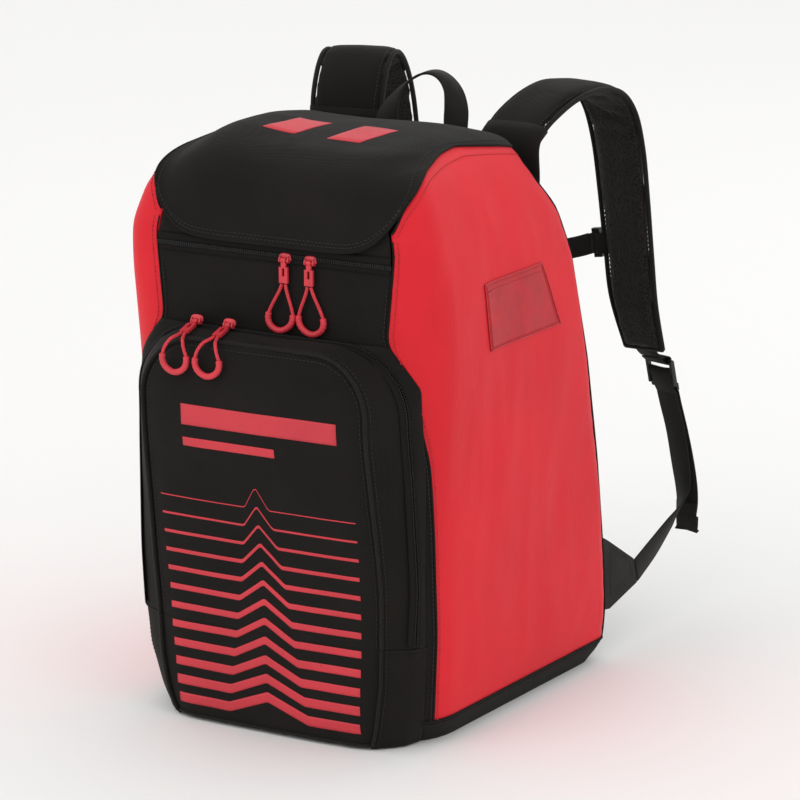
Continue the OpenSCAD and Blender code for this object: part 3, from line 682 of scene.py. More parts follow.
def id_window():
    """Clear pocket on the right side panel: a film with a welded frame and a pull-out slot."""
    sheet_piece("id_film", lambda u, v, t: window_pt(u, v, 0.9 - t), 26, 26, 0.9, "window_film", "bag",
                ["id_window"])
    frame_parts, sewn = Parts(), Parts()
    edge = [(t, 0) for t in np.linspace(0, 1, 20)] + [(1, t) for t in np.linspace(0, 1, 20)]
    edge += [(1 - t, 1) for t in np.linspace(0, 1, 20)] + [(0, 1 - t) for t in np.linspace(0, 1, 20)]
    normals = [shell_normal(2.7, 370)] * len(edge)
    frame_parts.add(tube_mesh([window_pt(u, v, 0.9) for u, v in edge], 0.8, 6, 0.6, normals))
    slot = [window_pt(t, 0.88, 1.2) for t in np.linspace(0.06, 0.94, 20)]
    frame_parts.add(tube_mesh(slot, 0.6, 6, 0.6, normals[:20]))
    frame_parts.piece("id_frame", "thread_red", "bag")
    inner = [(0.5 + (u - 0.5) * 0.93, 0.5 + (v - 0.5) * 0.93) for u, v in edge]
    sew(sewn, [window_pt(u, v, 1.1) for u, v in inner], normals, 3.2, 2.2, 0.35)
    sewn.piece("id_stitches", "thread_red", "bag")


# ---------------------------------------------------------------- front pocket
FRONT_PROFILE = soft_table([(z / BODY_H, f) for z, f in (
    (0, .795), (10, .835), (50, .845), (90, .85), (145, .87), (200, .915), (240, .955), (280, .99),
    (310, 1), (340, .985), (370, .955))], 0.03)
SEAM_W = soft_table([(145 / BODY_H, 117), (280 / BODY_H, 111)], 0.03)
ZIP_W = soft_table([(150 / BODY_H, 142), (240 / BODY_H, 137), (290 / BODY_H, 134)], 0.03)
LOW_W = soft_table([(0, .84), (20 / BODY_H, .9), (60 / BODY_H, .95), (150 / BODY_H, .985), (250 / BODY_H, 1)], 0.01)
RIM_Y = soft_table([(z / BODY_H, y) for z, y in ((0, -115), (60, -125), (98, -128.4), (150, -128.4),
                                                (240, -133), (300, -137))], 0.02)
POCKET_R = 52.0
POCKET_RISE = 5.0


def pocket_w(z, d):
    """Half width of the pocket at height z; d is 0 at the front seam and 1 at the zip."""
    w = mix(look(SEAM_W, z / BODY_H), look(ZIP_W, z / BODY_H), d)
    r, top = POCKET_R + 10 * d, POCKET_SEAM_Z + POCKET_RISE * d
    h = max(0.0, z - (top - r))
    return w * look(LOW_W, z / BODY_H) - (r - math.sqrt(max(0.0, r * r - h * h)))


def pocket_y(z):
    return -POCKET_Y * look(FRONT_PROFILE, z / BODY_H)


def rim_y(z):
    return look(RIM_Y, z / BODY_H)


def outline(s, d, z0=POCKET_FOLD_Z):
    """Point of the pocket's outline in x and z. s from 0 at the left foot, over the top, to 1."""
    if s > 0.5:
        x, z = outline(1 - s, d, z0)
        return -x, z
    r, top = POCKET_R + 10 * d, POCKET_SEAM_Z + POCKET_RISE * d
    if s <= 0.3:
        z = mix(z0, top - r, s / 0.3)
        return -pocket_w(z, d), z
    w = pocket_w(top - r, d)
    if s <= 0.4:
        a = (s - 0.3) / 0.1 * math.pi / 2
        return -(w - r) - r * math.cos(a), top - r + r * math.sin(a)
    return mix(-(w - r), 0, (s - 0.4) / 0.1), top


def gusset_pt(s, d, out=0.0, z0=POCKET_FOLD_Z):
    """The pocket's side wall and roof, from the front seam back to the zip."""
    xa, za = outline(s, 0, z0)
    xb, zb = outline(s, 1, z0)
    ya, yb = pocket_y(min(za, POCKET_SEAM_Z)) + 6, rim_y(zb)
    t = math.sin(d * math.pi / 2) if za > POCKET_SEAM_Z - POCKET_R else d
    roof = max(0.0, min(1.0, (za - (POCKET_SEAM_Z - POCKET_R)) / POCKET_R))
    t = mix(d, t, roof)
    p = np.array((mix(xa, xb, d), mix(ya, yb, d), mix(za, zb, t)))
    n = outline_normal(s)
    puff = 1.5 * math.sin(math.pi * d) * (1 - 0.6 * roof)
    puff += 0.8 * ripple(p, 34, 4.4) * math.sin(math.pi * min(1, max(0, d)))
    return p + n * (puff + out)


def outline_normal(s):
    """Outward direction of the outline at s, in the X-Z plane."""
    xa, za = outline(max(0.0, s - 0.004), 0.6)
    xb, zb = outline(min(1.0, s + 0.004), 0.6)
    return unit((-(zb - za), 0, xb - xa))


def front_y(x, z, w):
    """The front panel's face: full in the middle and turned back along its seams."""
    edge = min(w - abs(x), max(POCKET_SEAM_Z - z, 0) * 1.1)
    turn = max(0.0, 1 - edge / 22)
    t = x / max(w, 1)
    crown = 3.5 * (t * t)
    cloth = 1.1 * ripple((x, 0, z), 55, 6.6, 0.7) + 0.5 * ripple((x, 0, z), 22, 3.3, 0.6)
    return pocket_y(min(z, POCKET_SEAM_Z)) + crown + 5 * turn * turn - cloth * min(1.0, edge / 12)


def panel_pt(x_part, z, out=0.0):
    """Point of the pocket's front panel, at part x_part of its half width."""
    zz = min(z, POCKET_SEAM_Z - 0.02)
    w = pocket_w(zz, 0)
    x = x_part * w
    return np.array((x, front_y(x, zz, w) - out, z))


def pocket_blend(piece):
    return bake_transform(piece)


def panel_rows(z0, z1, n):
    """Heights that crowd together where the outline rounds over at the top."""
    return [mix(z0, z1, math.sin(t * math.pi / 2) ** 0.8 if z1 > 300 else t) for t in np.linspace(0, 1, n)]


def cloth_from_rows(name, rows_out, rows_in, material, body=None, replaces=()):
    return add_piece(name, *sheet_mesh(rows_out, rows_in), material, body, replaces)


def pocket_pieces():
    xs = [math.sin(a) for a in np.linspace(-math.pi / 2, math.pi / 2, 61)]
    for name, z0, z1, n in (("pocket_panel", POCKET_FOLD_Z, POCKET_SEAM_Z, 80),
                            ("pocket_lower_panel", 4.0, POCKET_FOLD_Z, 36)):
        zs = panel_rows(z0, z1, n)
        front = [[panel_pt(x, z) for x in xs] for z in zs]
        back = [[panel_pt(x * 0.985, z, -2.2) for x in xs] for z in zs]
        piece = cloth_from_rows(name, front, back, "black_fabric", None if z0 > 50 else "bag",
                                ["pocket_cover"] if z0 > 50 else ["pocket_floor"])
        if z0 > 50:
            pocket_blend(piece)
    ss, ds = np.linspace(0, 1, 150), np.linspace(0, 0.985, 14)
    gusset = cloth_from_rows("pocket_gusset", [[gusset_pt(s, d) for d in ds] for s in ss],
                             [[gusset_pt(s, d, -2.2) for d in ds] for s in ss], "black_fabric")
    pocket_blend(gusset)
    for name, sign in (("left", -1), ("right", 1)):
        lower_gusset(name, sign)
        pocket_rim(name, sign)
    bottom = [[np.array((x * pocket_w(4, 0), mix(front_y(x * pocket_w(4, 0), 4, pocket_w(4, 0)) + 1, -104, t),
                         0.6 + 3.4 * (1 - t) ** 6)) for x in xs] for t in np.linspace(0, 1, 10)]
    under = [[p + (0, 0, 2.2) for p in row] for row in bottom]
    cloth_from_rows("pocket_bottom", bottom, under, "black_fabric", "bag")


def lower_wall_pt(sign, z, t, out=0.0):
    """Side wall of the pocket below the fold, from the front seam (t 0) to the shell (t 1)."""
    w0, w1 = pocket_w(z, 0), pocket_w(z, 1)
    ya, yb = pocket_y(z) + 6, rim_y(z)
    end = shell_pt(1.52, z, -0.6)
    if t < 0.6:
        d = t / 0.6
        p = np.array((mix(w0, w1, d), mix(ya, yb, d), z))
        p[0] += 1.5 * math.sin(math.pi * d)
    else:
        k = (t - 0.6) / 0.4
        p = np.array((mix(w1, end[0], k), mix(yb, end[1], k), z))
    n = unit((0.75, -0.66, 0))
    return (p + n * (out + 0.6 * ripple(p, 30, 8.8))) * (sign, 1, 1)


def lower_gusset(name, sign):
    zs, ts = np.linspace(1.5, POCKET_FOLD_Z, 34), np.linspace(0, 1, 18)
    front = [[lower_wall_pt(sign, z, t) for t in ts] for z in zs]
    back = [[lower_wall_pt(sign, z, t, -2.0) for t in ts] for z in zs]
    cloth_from_rows(f"pocket_lower_{name}", front, back, "black_fabric", "bag")


def rim_q(z):
    return float(np.interp(z, [250, 330], [1.5, 1.42]))


def pocket_rim(name, sign):
    """Strip of cloth from the zip to the shell, up each side."""
    zs = np.linspace(POCKET_FOLD_Z, 362, 64)
    rows = []
    for out in (0.0, -1.6):
        rows.append([])
        for z in zs:
            a = np.array((pocket_w(z, 1), rim_y(z) + 0.8, z))
            b = shell_pt(min(rim_q(z), seam_q(z) - 0.03), z, -0.8)
            b[0] = max(b[0], a[0] + 0.5)
            n = unit((0.75, -0.66, 0))
            row = [(mix(a, b, k) + n * (out + 1.2 * math.sin(math.pi * k))) * (sign, 1, 1)
                   for k in np.linspace(0, 1, 6)]
            rows[-1].append(row)
    cloth_from_rows(f"pocket_rim_{name}", rows[0], rows[1], "black_fabric", "bag",
                    ["pocket_rim"] if sign < 0 else [])


def pocket_trim():
    """Piping and stitches round the front panel and down its lower edges, and piping along the fold's seam and the
    pocket's foot.
    """
    piping, sewn, low, low_sewn = Parts(), Parts(), Parts(), Parts()
    ss = np.linspace(0, 1, 180)
    path = [gusset_pt(s, 0.0, 0.3) for s in ss]
    forward = [unit(outline_normal(s) + (0, -1, 0)) for s in ss]
    piping.add(tube_mesh(path, 1.7, 8))
    sew(sewn, [gusset_pt(s, 0.12, 0.25) for s in ss], [outline_normal(s) for s in ss])
    inner = []
    for s in ss:
        x, z = outline(s, 0)
        n = outline_normal(s)
        x, z = x - n[0] * 5, z - n[2] * 5
        inner.append((x, front_y(x, z, pocket_w(min(z, 355.9), 0)) - 0.25, z))
    sew(sewn, inner, [(0, -1, 0)] * len(inner))
    for sign in (-1, 1):
        zs = np.linspace(5, POCKET_FOLD_Z, 30)
        low.add(tube_mesh([lower_wall_pt(sign, z, 0.0, 0.4) for z in zs], 1.7, 8))
        sew(low_sewn, [lower_wall_pt(sign, z, 0.08, 0.3) for z in zs], [(sign * 0.8, -0.6, 0)] * 30)
        seam = [lower_wall_pt(sign, POCKET_FOLD_Z - 1, t, 0.4) for t in np.linspace(0.02, 0.98, 20)]
        low.add(tube_mesh(seam, 0.9, 6))
    xs = np.linspace(-0.99, 0.99, 50)
    low.add(tube_mesh([panel_pt(x, 4.5, 0.3) for x in xs], 1.6, 8))
    pocket_blend(piping.piece("pocket_piping", "webbing"))
    pocket_blend(sewn.piece("pocket_stitches", "thread_black"))
    low.piece("pocket_lower_piping", "webbing", "bag")
    low_sewn.piece("pocket_lower_stitches", "thread_black", "bag")


def zip_pt(s, y_off, out):
    x, z = outline(s, 1, POCKET_FOLD_Z + 2)
    n = outline_normal(s)
    slope = 0.55 * max(0.0, -y_off) * (0.9 if abs(n[0]) > 0.5 else 0.25)
    return np.array((x, rim_y(z) + y_off, z)) + n * (out - slope)


def pocket_zip():
    """Tapes and teeth of the pocket's zip: one half on the cover, one on the bag."""
    ss = np.linspace(0, 1, 170)
    normals = [outline_normal(s) for s in ss]
    for name, body, sign, nodes in (("pocket_cover_zip", None, -1, ["pocket_cover_tape"]),
                                    ("pocket_bag_zip", "bag", 1, ["pocket_zip_tape"])):
        near, far = (0.6, 6.5) if sign > 0 else (-0.6, -7.0)
        tape = [[zip_pt(s, y, 0.9) for y in np.linspace(near, far, 4)] for s in ss]
        under = [[zip_pt(s, y, -0.1) for y in np.linspace(near, far, 4)] for s in ss]
        piece = cloth_from_rows(name, tape, under, "zip_tape", body, nodes)
        teeth = Parts()
        path = [zip_pt(s, sign * 2.1, 1.0) for s in ss]
        zip_teeth(teeth, path, normals, [(0, -sign, 0)] * len(path))
        coil = teeth.piece(f"{name}_teeth", "zip_teeth", body)
        if body is None:
            pocket_blend(piece)
            pocket_blend(coil)


def stripe(parts, z_mid, thick, half, peak_w, peak_h, lift=0.28):
    """Printed stripe across the pocket with one plain chevron in the middle."""
    sheets = []
    for out in (lift, -0.1):
        sheets.append([])
        for edge in np.linspace(-0.5, 0.5, 5):
            row = []
            for x in np.linspace(-half, half * 0.97, 81):
                z = z_mid + edge * thick + peak_h * max(0.0, 1 - abs(x) / peak_w)
                row.append(panel_at(x, z, out))
            sheets[-1].append(row)
    parts.add(sheet_mesh(*sheets))


def panel_at(x, z, out):
    w = pocket_w(z, 0)
    return np.array((x, front_y(x, z, w) - out, z))


def prints():
    """Generic print: bars in place of a word, and stripes that thicken downward."""
    upper, lower = Parts(), Parts()
    count, z_top, z_low = 12, 212.0, 20.0
    for i in range(count):
        t = i / (count - 1)
        z = mix(z_top, z_low, t)
        thick = mix(1.0, 9.5, t ** 0.9)
        target = upper if z > POCKET_FOLD_Z + 8 else lower
        stripe(target, z, thick, mix(100, 94, t * t), mix(12, 40, t), mix(20, 16, t))
    add_bar(upper, 8, 77, 291, 19)
    add_bar(upper, -23, 46, 266, 8)
    pocket_blend(upper.piece("print_upper", "coral_print"))
    lower.piece("print_lower", "coral_print", "bag")


def add_bar(parts, x, half, z, height):
    xs = np.linspace(x - half, x + half, 40)
    parts.add(sheet_mesh(*[[[panel_at(a, z + e * height, out) for a in xs] for e in np.linspace(-0.5, 0.5, 8)]
                           for out in (0.3, -0.1)]))


# ---------------------------------------------------------------- lid
LID_Y = soft_table([(0, -138), (.14, -135.5), (.26, -129), (.36, -115), (.46, -92), (.58, -52), (.72, 0),
                    (.86, 62), (1, 121)], 0.03)
LID_Z = soft_table([(0, 438), (.14, 466), (.26, 492), (.36, 508), (.46, 518), (.58, 523), (.72, 525),
                    (.86, 520), (1, 504)], 0.03)


def lid_pt(v, w, out=0.0):
    """A point of the lid: v from the flap's lower edge to the hinge, w from left to right."""
    e = shell_pt(arch_q(v), arch_z(v), -0.4)
    ex, ey, ez = e[0], e[1], e[2] + 1.6
    cy, cz = look(LID_Y, v), look(LID_Z, v)
    front = max(0.0, 1 - v / 0.3)
    k = 1 - abs(w) ** 7
    p = np.array((w * ex, mix(ey - 3 * front, cy, k), mix(ez, cz, k)))
    n = unit((0.35 * w ** 5, -front - 0.25 * max(0.0, 1 - v / 0.5), 1 - front + 0.001))
    puff = 7 * math.exp(-((w + 0.72) / 0.3) ** 2) * math.sin(math.pi * min(1.0, max(0.0, (v - 0.12) / 0.8))) * k
    p = p + (0, 0, puff)
    free = min(1.0, 9 * (1 - abs(w)), 14 * (1 - v), 0.15 + 12 * v)
    cloth = free * (1.8 * ripple(p, 70, 1.7) + 0.8 * ripple(p, 28, 6.1) - 0.6)
    return p + n * (out + cloth)


def flap_start(w):
    """Part v where the flap's lower edge lies: level in the middle, rising at its rounded corners."""
    t = max(0.0, (abs(w) - 0.60) / 0.40)
    return 0.15 * (1 - math.sqrt(max(0.0, 1 - t * t)))


def flap_pt(v, w, out=0.0):
    return lid_pt(mix(flap_start(w), 1, v), w, out)


def collar_pt(u, v, inset):
    """Fabric of the lid behind the flap: from the zip's upper tape to under the hood."""
    w = 2 * u - 1
    low, high = shell_pt(0.955 * w, MAIN_ZIP_Z + 8.5, -0.6), lid_pt(0.155, w, -2.8)
    side = shell_pt(0.96 * w, mix(MAIN_ZIP_Z + 8.5, 478, v), -0.4)
    p = mix(mix(low, high, v), side, min(1.0, abs(w)) ** 6)
    return p + np.array((0, inset, 0))


def lid_pieces():
    ws = [math.sin(a) for a in np.linspace(-math.pi / 2, math.pi / 2, 81)]
    vs = np.linspace(0, 1, 90)
    hood = cloth_from_rows("lid_hood", [[flap_pt(v, w) for w in ws] for v in vs],
                           [[flap_pt(v, w, -2.0) for w in ws] for v in vs], "black_fabric", None, ["lid_shell"])
    sheet_piece("lid_collar", collar_pt, 60, 18, 1.2, "black_fabric", "lid")
    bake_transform(hood)

    def hinge_cloth(u, v, out):
        low, high = np.array(shell_pt(3.5 + 3.0 * u, 488, -0.4 - out)), lid_pt(0.985, 1 - 2 * u, out - 1.3)
        return mix(low, high, v)

    us, steps = np.linspace(0, 1, 60), np.linspace(0, 1, 8)
    strip = cloth_from_rows("lid_hinge_cloth", [[hinge_cloth(u, v, 0.0) for u in us] for v in steps],
                            [[hinge_cloth(u, v, -1.2) for u in us] for v in steps], "black_fabric")
    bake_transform(strip)
    trim, sewn = Parts(), Parts()
    hem = [flap_pt(0.0, w, -0.7) for w in ws]
    trim.add(tube_mesh(hem, 1.3, 8))
    for sign in (-1, 1):
        edge = [flap_pt(v, sign, -0.6) for v in np.linspace(0, 0.97, 60)]
        trim.add(tube_mesh(edge, 1.2, 8))
        row = [flap_pt(v, sign * 0.955, 0.1) for v in np.linspace(0.03, 0.95, 60)]
        sew(sewn, row, [(0, -0.3, 1)] * 60)
    sew(sewn, [flap_pt(0.028, w, 0.1) for w in ws[4:-4]], [(0, -1, 0.1)] * (len(ws) - 8))
    sew(sewn, [flap_pt(0.045, w, 0.1) for w in ws[6:-6]], [(0, -1, 0.1)] * (len(ws) - 12))
    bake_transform(trim.piece("lid_binding", "black_fabric"))
    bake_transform(sewn.piece("lid_stitches", "thread_black"))
    mark = Parts()
    for side in (-1, 1):
        rows = []
        for out in (0.35, -0.1):
            for v in np.linspace(0.555, 0.70, 6):
                lean = (v - 0.63) * 0.5
                rows.append([lid_pt(v, side * 0.30 + x + lean, out) for x in np.linspace(-0.15, 0.15, 10)])
        mark.add(sheet_mesh(rows[:6], rows[6:]))
    mark.piece("lid_mark", "coral_print", "lid", ["lid_badge"])


def main_zip():
    """Main zip under the lid flap: the lower tape is the bag's, the upper one the lid's."""
    qs = np.linspace(-0.96, 0.96, 90)
    for name, body, low, high, sign, node in (("main_zip_low", "bag", -5.5, 0.4, 1, "main_zip_tape"),
                                              ("main_zip_high", "lid", 1.6, 9.5, -1, "lid_zip_tape")):
        levels = np.linspace(MAIN_ZIP_Z + low, MAIN_ZIP_Z + high, 4)
        out = [[shell_pt(q, z, -1.6) for q in qs] for z in levels]
        under = [[shell_pt(q, z, -0.2) for q in qs] for z in levels]
        cloth_from_rows(name, out, under, "zip_tape", body, [node])
        teeth = Parts()
        z = MAIN_ZIP_Z + (-0.9 if sign > 0 else 2.9)
        path = [shell_pt(q, z, -1.8) for q in qs]
        zip_teeth(teeth, path, [(0, -1, 0)] * len(path), [(0, 0, sign)] * len(path), 2.0)
        teeth.piece(f"{name}_teeth", "zip_teeth", body)


# ---------------------------------------------------------------- zip pulls
PULLS = {"main_left": (13, -135.544, 428, False, -.12), "main_right": (38, -135.544, 428, False, .06),
         "pocket_left": (-72, -143, 366, True, 0), "pocket_right": (-39, -143, 366, True, 0)}
TAB_LEN = 20.0
TEAR = [(1.8, 21), (3.2, 26), (6.2, 33), (9.6, 40.5), (11.9, 47), (12.2, 51.5), (10.8, 56), (7.5, 59.5), (3.4, 61.6)]
TEAR_END = 62.2
CORD_D, GRIP_D = 3.0, 5.6
DRAPE_TILT, DRAPE_RUN, DRAPE_R = math.radians(74), 30.0, 9.0


def pull_pt(at, x, s, draped, lean=0.0):
    """Place of a pull's point: straight down, or draped over the pocket's edge."""
    if not draped:
        return np.array((at[0] + x + lean * max(0.0, s - TAB_LEN), at[1] - 0.3, at[2] - s))
    ahead = np.array((0, -math.sin(DRAPE_TILT), -math.cos(DRAPE_TILT)))
    over = max(0.0, s - DRAPE_RUN)
    a = min(over / DRAPE_R, DRAPE_TILT)
    rest, low = over - a * DRAPE_R, DRAPE_TILT - a
    p = np.array((at[0] + x, at[1], at[2]))
    if over == 0:
        return p + ahead * s
    bend = DRAPE_R * np.array((0, math.cos(DRAPE_TILT) - math.cos(low), math.sin(low) - math.sin(DRAPE_TILT)))
    return p + ahead * DRAPE_RUN + bend - (0, 0, rest)


def zip_pulls():
    """Cord loop and moulded grip of each pull. The loop is one cord from the tab and back to it."""
    for name, (x, y, z, draped, lean) in PULLS.items():
        body = name.replace("_", "_pull_")
        zone, side = name.split("_")
        at = (x, y, z)
        half = [pull_pt(at, -px, s, draped, lean) for px, s in TEAR]
        back = [pull_pt(at, px, s, draped, lean) for px, s in reversed(TEAR)]
        path = smooth_path(half + [pull_pt(at, 0, TEAR_END, draped, lean)] + back, 5)
        cord = add_piece(f"{zone}_cord_loop_{side}", *tube_mesh(path, CORD_D / 2, 12), "pull_cord", body,
                         [f"{zone}_cord_{side}"])
        line = smooth_path(half[4:] + [pull_pt(at, 0, TEAR_END, draped, lean)] + back[:5], 6)
        radii = GRIP_D / 2
        grip = add_piece(f"{zone}_grip_sleeve_{side}", *grip_mesh(line, radii), "pull_rubber", body,
                         [f"{zone}_grip_{side}"])


def slider_bodies():
    """Zip sliders: a domed diamond body with side flanges and an arched bridge over the pull's bar."""
    for name, (x, y, z, draped, lean) in PULLS.items():
        zone, side = name.split("_")
        parts = Parts()
        rings = []
        for k, (depth, scale) in enumerate(((3.8, 0.90), (3.0, 1.0), (2.2, 0.97), (1.5, 0.82), (1.2, 0.5))):
            ring = []
            for a in np.linspace(0, 2 * math.pi, 28, endpoint=False):
                px = math.copysign(abs(math.cos(a)) ** 0.75, math.cos(a)) * 6.4
                pz = math.copysign(abs(math.sin(a)) ** 0.75, math.sin(a)) * 4.4
                px *= 1 - 0.22 * max(0.0, -math.sin(a))
                ring.append(np.array((x + px * scale, y + depth, z + 1.5 + pz * scale)))
            rings.append(ring)
        verts = [p for ring in rings for p in ring]
        faces = [(r * 28 + k, r * 28 + (k + 1) % 28, (r + 1) * 28 + (k + 1) % 28, (r + 1) * 28 + k)
                 for r in range(4) for k in range(28)]
        faces += [tuple(range(27, -1, -1)), tuple(4 * 28 + k for k in range(28))]
        parts.add((verts, orient(verts, faces)))
        for s in (-1, 1):
            cheek = [(x + s * 4.1, y + 2.6, z + 3), (x + s * 4.1, y + 0.4, z + 2.4), (x + s * 4.1, y - 1.0, z + 0.4),
                     (x + s * 4.1, y - 0.6, z - 1.4), (x + s * 4.1, y + 2.6, z - 2)]
            parts.add(tube_mesh(smooth_path(cheek, 4), 0.85, 8))
        parts.add(tube_mesh([(x - 4.1, y, z), (x, y, z), (x + 4.1, y, z)], 0.8, 10))
        parts.piece(f"{zone}_slider_body_{side}", "slider_metal", f"{zone}_slider_{side}", [f"{zone}_slider_{side}"])


def grip_mesh(line, radius):
    """Moulded sleeve: rounded ends and shallow finger rings."""
    verts, faces = tube_mesh(line, 1.0, 14)
    line = [np.asarray(p, float) for p in line]
    n = len(line)
    for i in range(n):
        end = min(i, n - 1 - i)
        r = radius * (0.80 if end == 0 else 0.95 if end == 1 else 1.0)
        if end > 3 and i % 4 == 0:
            r -= 0.22
        for k in range(14):
            verts[i * 14 + k] = line[i] + (verts[i * 14 + k] - line[i]) * r
    return verts, faces


# ---------------------------------------------------------------- harness
PAD_RIGHT = [(87, 146, 499), (91, 166, 513), (97, 198, 526), (103, 234, 531), (109, 268, 524), (113, 292, 502),
             (117, 304, 465), (121, 309, 417), (126, 311, 364), (131, 313, 316), (138, 324, 268)]
PAD_LEFT = [(-87, 146, 500), (-88, 152, 521), (-91, 166, 543), (-95, 186, 554), (-101, 213, 548),
            (-107, 240, 524), (-112, 262, 490), (-117, 281, 440), (-123, 297, 380), (-130, 309, 322),
            (-138, 324, 268)]
PAD_WIDTHS = [66, 68, 68, 68, 67, 66, 64, 62, 60, 58, 50]
PAD_T = 13.0


def cloth_swell(piece, pressure, cap, voxel=0.0045):
    """Inflates a closed pad by cloth simulation, with a cap on how far a point may move."""
    bpy.context.view_layer.objects.active = piece
    mod = piece.modifiers.new("remesh", "REMESH")
    mod.mode = "VOXEL"
    mod.voxel_size = voxel
    apply(piece, mod)
    start = read_points(piece)
    mod = piece.modifiers.new("cloth", "CLOTH")
    mod.settings.use_pressure = True
    mod.settings.uniform_pressure_force = pressure
    mod.settings.tension_stiffness = 25
    mod.settings.effector_weights.gravity = 0
    mod.point_cache.frame_start = 1
    mod.point_cache.frame_end = 20
    for f in range(1, 21):
        bpy.context.scene.frame_set(f)
    apply(piece, mod)
    bpy.context.scene.frame_set(1)
    moved = read_points(piece)
    step = moved - start
    length = np.linalg.norm(step, axis=1, keepdims=True)
    step *= np.minimum(1.0, cap / np.maximum(length, 1e-9))
    write_points(piece, start + step)
    return piece


def apply(piece, mod):
    """Applies a modifier by taking the evaluated mesh."""
    depsgraph = bpy.context.evaluated_depsgraph_get()
    mesh = bpy.data.meshes.new_from_object(piece.evaluated_get(depsgraph), depsgraph=depsgraph)
    piece.modifiers.remove(mod)
    old = piece.data
    piece.data = mesh
    mesh.name = piece.name
    bpy.data.meshes.remove(old)


def read_points(piece):
    co = np.zeros(len(piece.data.vertices) * 3, np.float32)
    piece.data.vertices.foreach_get("co", co)
    return co.reshape(-1, 3).astype(float)


def write_points(piece, points):
    piece.data.vertices.foreach_set("co", points.astype(np.float32).ravel())
    piece.data.update()


def finish_cloth(piece, levels=1):
    if levels:
        mod = piece.modifiers.new("smooth", "SUBSURF")
        mod.levels = mod.render_levels = levels
        apply(piece, mod)
    piece.data.polygons.foreach_set("use_smooth", [True] * len(piece.data.polygons))
    return piece


def pad_section(w, t, n=28):
    """Section of a shoulder pad: crowned outside, flatter inside, pinched at its bound edges."""
    pts = []
    for k in range(n):
        a = 2 * math.pi * k / n
        x = math.copysign(abs(math.cos(a)) ** 0.55, math.cos(a)) * w
        y = math.copysign(abs(math.sin(a)) ** 0.8, math.sin(a)) * t
        pts.append((x, y))
    return pts


def pad_frames(points, sign, side):
    line = smooth_path(points, 7)
    widths = [p[0] for p in smooth_path([(w, 0, 0) for w in PAD_WIDTHS], 7)]
    out = []
    for p, t, w in zip(line, tangents(line), widths):
        n = unit(np.cross(t, side))
        s = unit(np.cross(n, t))
        out.append([p, s, n, w / 2, t])
    outer = np.array((0, 0.7, 0.7))
    for frame_now in reversed(out):
        if np.dot(frame_now[2], outer) < 0:
            frame_now[1], frame_now[2] = -frame_now[1], -frame_now[2]
        outer = frame_now[2]
    return out


def shoulder_pads():
    """Padded straps: cloth outside, mesh inside, a bound edge all round and a webbing spine."""
    for name, points, sign in (("left", PAD_LEFT, -1), ("right", PAD_RIGHT, 1)):
        side = np.array((0.964, -0.266 * sign, 0))
        frames = pad_frames(points, sign, side)
        core = [[p + s * x + n * y for x, y in pad_section(w - 1.5, PAD_T / 2 - 1.3)] for p, s, n, w, t in frames]
        pad = ring_solid(f"shoulder_cloth_{name}", core, "black_fabric", [f"shoulder_pad_{name}"])
        cloth_swell(pad, 4.0, 0.0022)
        groove_pad(pad, frames)
        finish_cloth(pad)
        face_material(pad, frames)
        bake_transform(pad)
        trim = Parts()
        for k in (-1, 1):
            edge = [p + s * (w - 1.2) * k for p, s, n, w, t in frames]
            trim.add(tube_mesh(edge, 2.4, 8))
        tip = frames[-1]
        rim = [tip[0] + tip[1] * x * (tip[3] - 1.2) for x in np.linspace(-1, 1, 14)]
        trim.add(tube_mesh(rim, 2.4, 8))
        binding = trim.piece(f"shoulder_binding_{name}", "webbing")
        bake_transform(binding)
        sewn = Parts()
        hull = BVHTree.FromObject(pad, bpy.context.evaluated_depsgraph_get())
        for k in (-1, 1):
            for face in (-1, 1):
                row = [p + s * (w - 6.5) * k for p, s, n, w, t in frames]
                ups = [n * face for p, s, n, w, t in frames]
                sew(sewn, [on_surface(hull, q, n) for q, n in zip(row, ups)], ups, 4.2)
        stitches = sewn.piece(f"shoulder_stitches_{name}", "thread_black")
        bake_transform(stitches)
        strap_spine(name, frames, hull)
        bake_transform(strap_root(name, frames, sign))


def strap_root(name, frames, sign):
    """Cloth sleeve round the pad's upper end, flattened and sewn down on the back panel."""
    middle, half_w, seam_z, per_q = 86.0, 33.0, 457.0, 88.9
    p0, s0, n0, w0, t0 = frames[0]
    section = pad_section(1.0, 1.0)
    rings = []
    for t in np.linspace(0, 1, 14):
        ring = []
        for x, y in section:
            outward = x * math.copysign(1, s0[0]) * sign
            q = sign * (4.06 - outward * half_w / per_q)
            seam = np.array(shell_pt(q, seam_z, -3.2 + 2.6 * y))
            end = p0 + s0 * x * (w0 + 1.6) + n0 * y * 7.9
            near, far = seam + (0, 2, 20), end - t0 * 12
            ring.append(seam * (1 - t) ** 3 + near * 3 * t * (1 - t) ** 2 + far * 3 * t ** 2 * (1 - t) + end * t ** 3)
        rings.append(ring)
    p, s, n, w, t = frames[3]
    rings.append([p + s * x * (w + 1.5) + n * y * 7.8 for x, y in section])
    return ring_solid(f"strap_root_{name}", rings, "black_fabric")


def on_surface(hull, point, normal):
    """The point moved along the normal to the surface of a piece."""
    start = Vector((np.asarray(point) + unit(normal) * 30) * MM)
    hit = hull.ray_cast(start, Vector(-unit(normal)), 0.06)[0]
    return np.asarray(point, float) if hit is None else np.array(hit) / MM


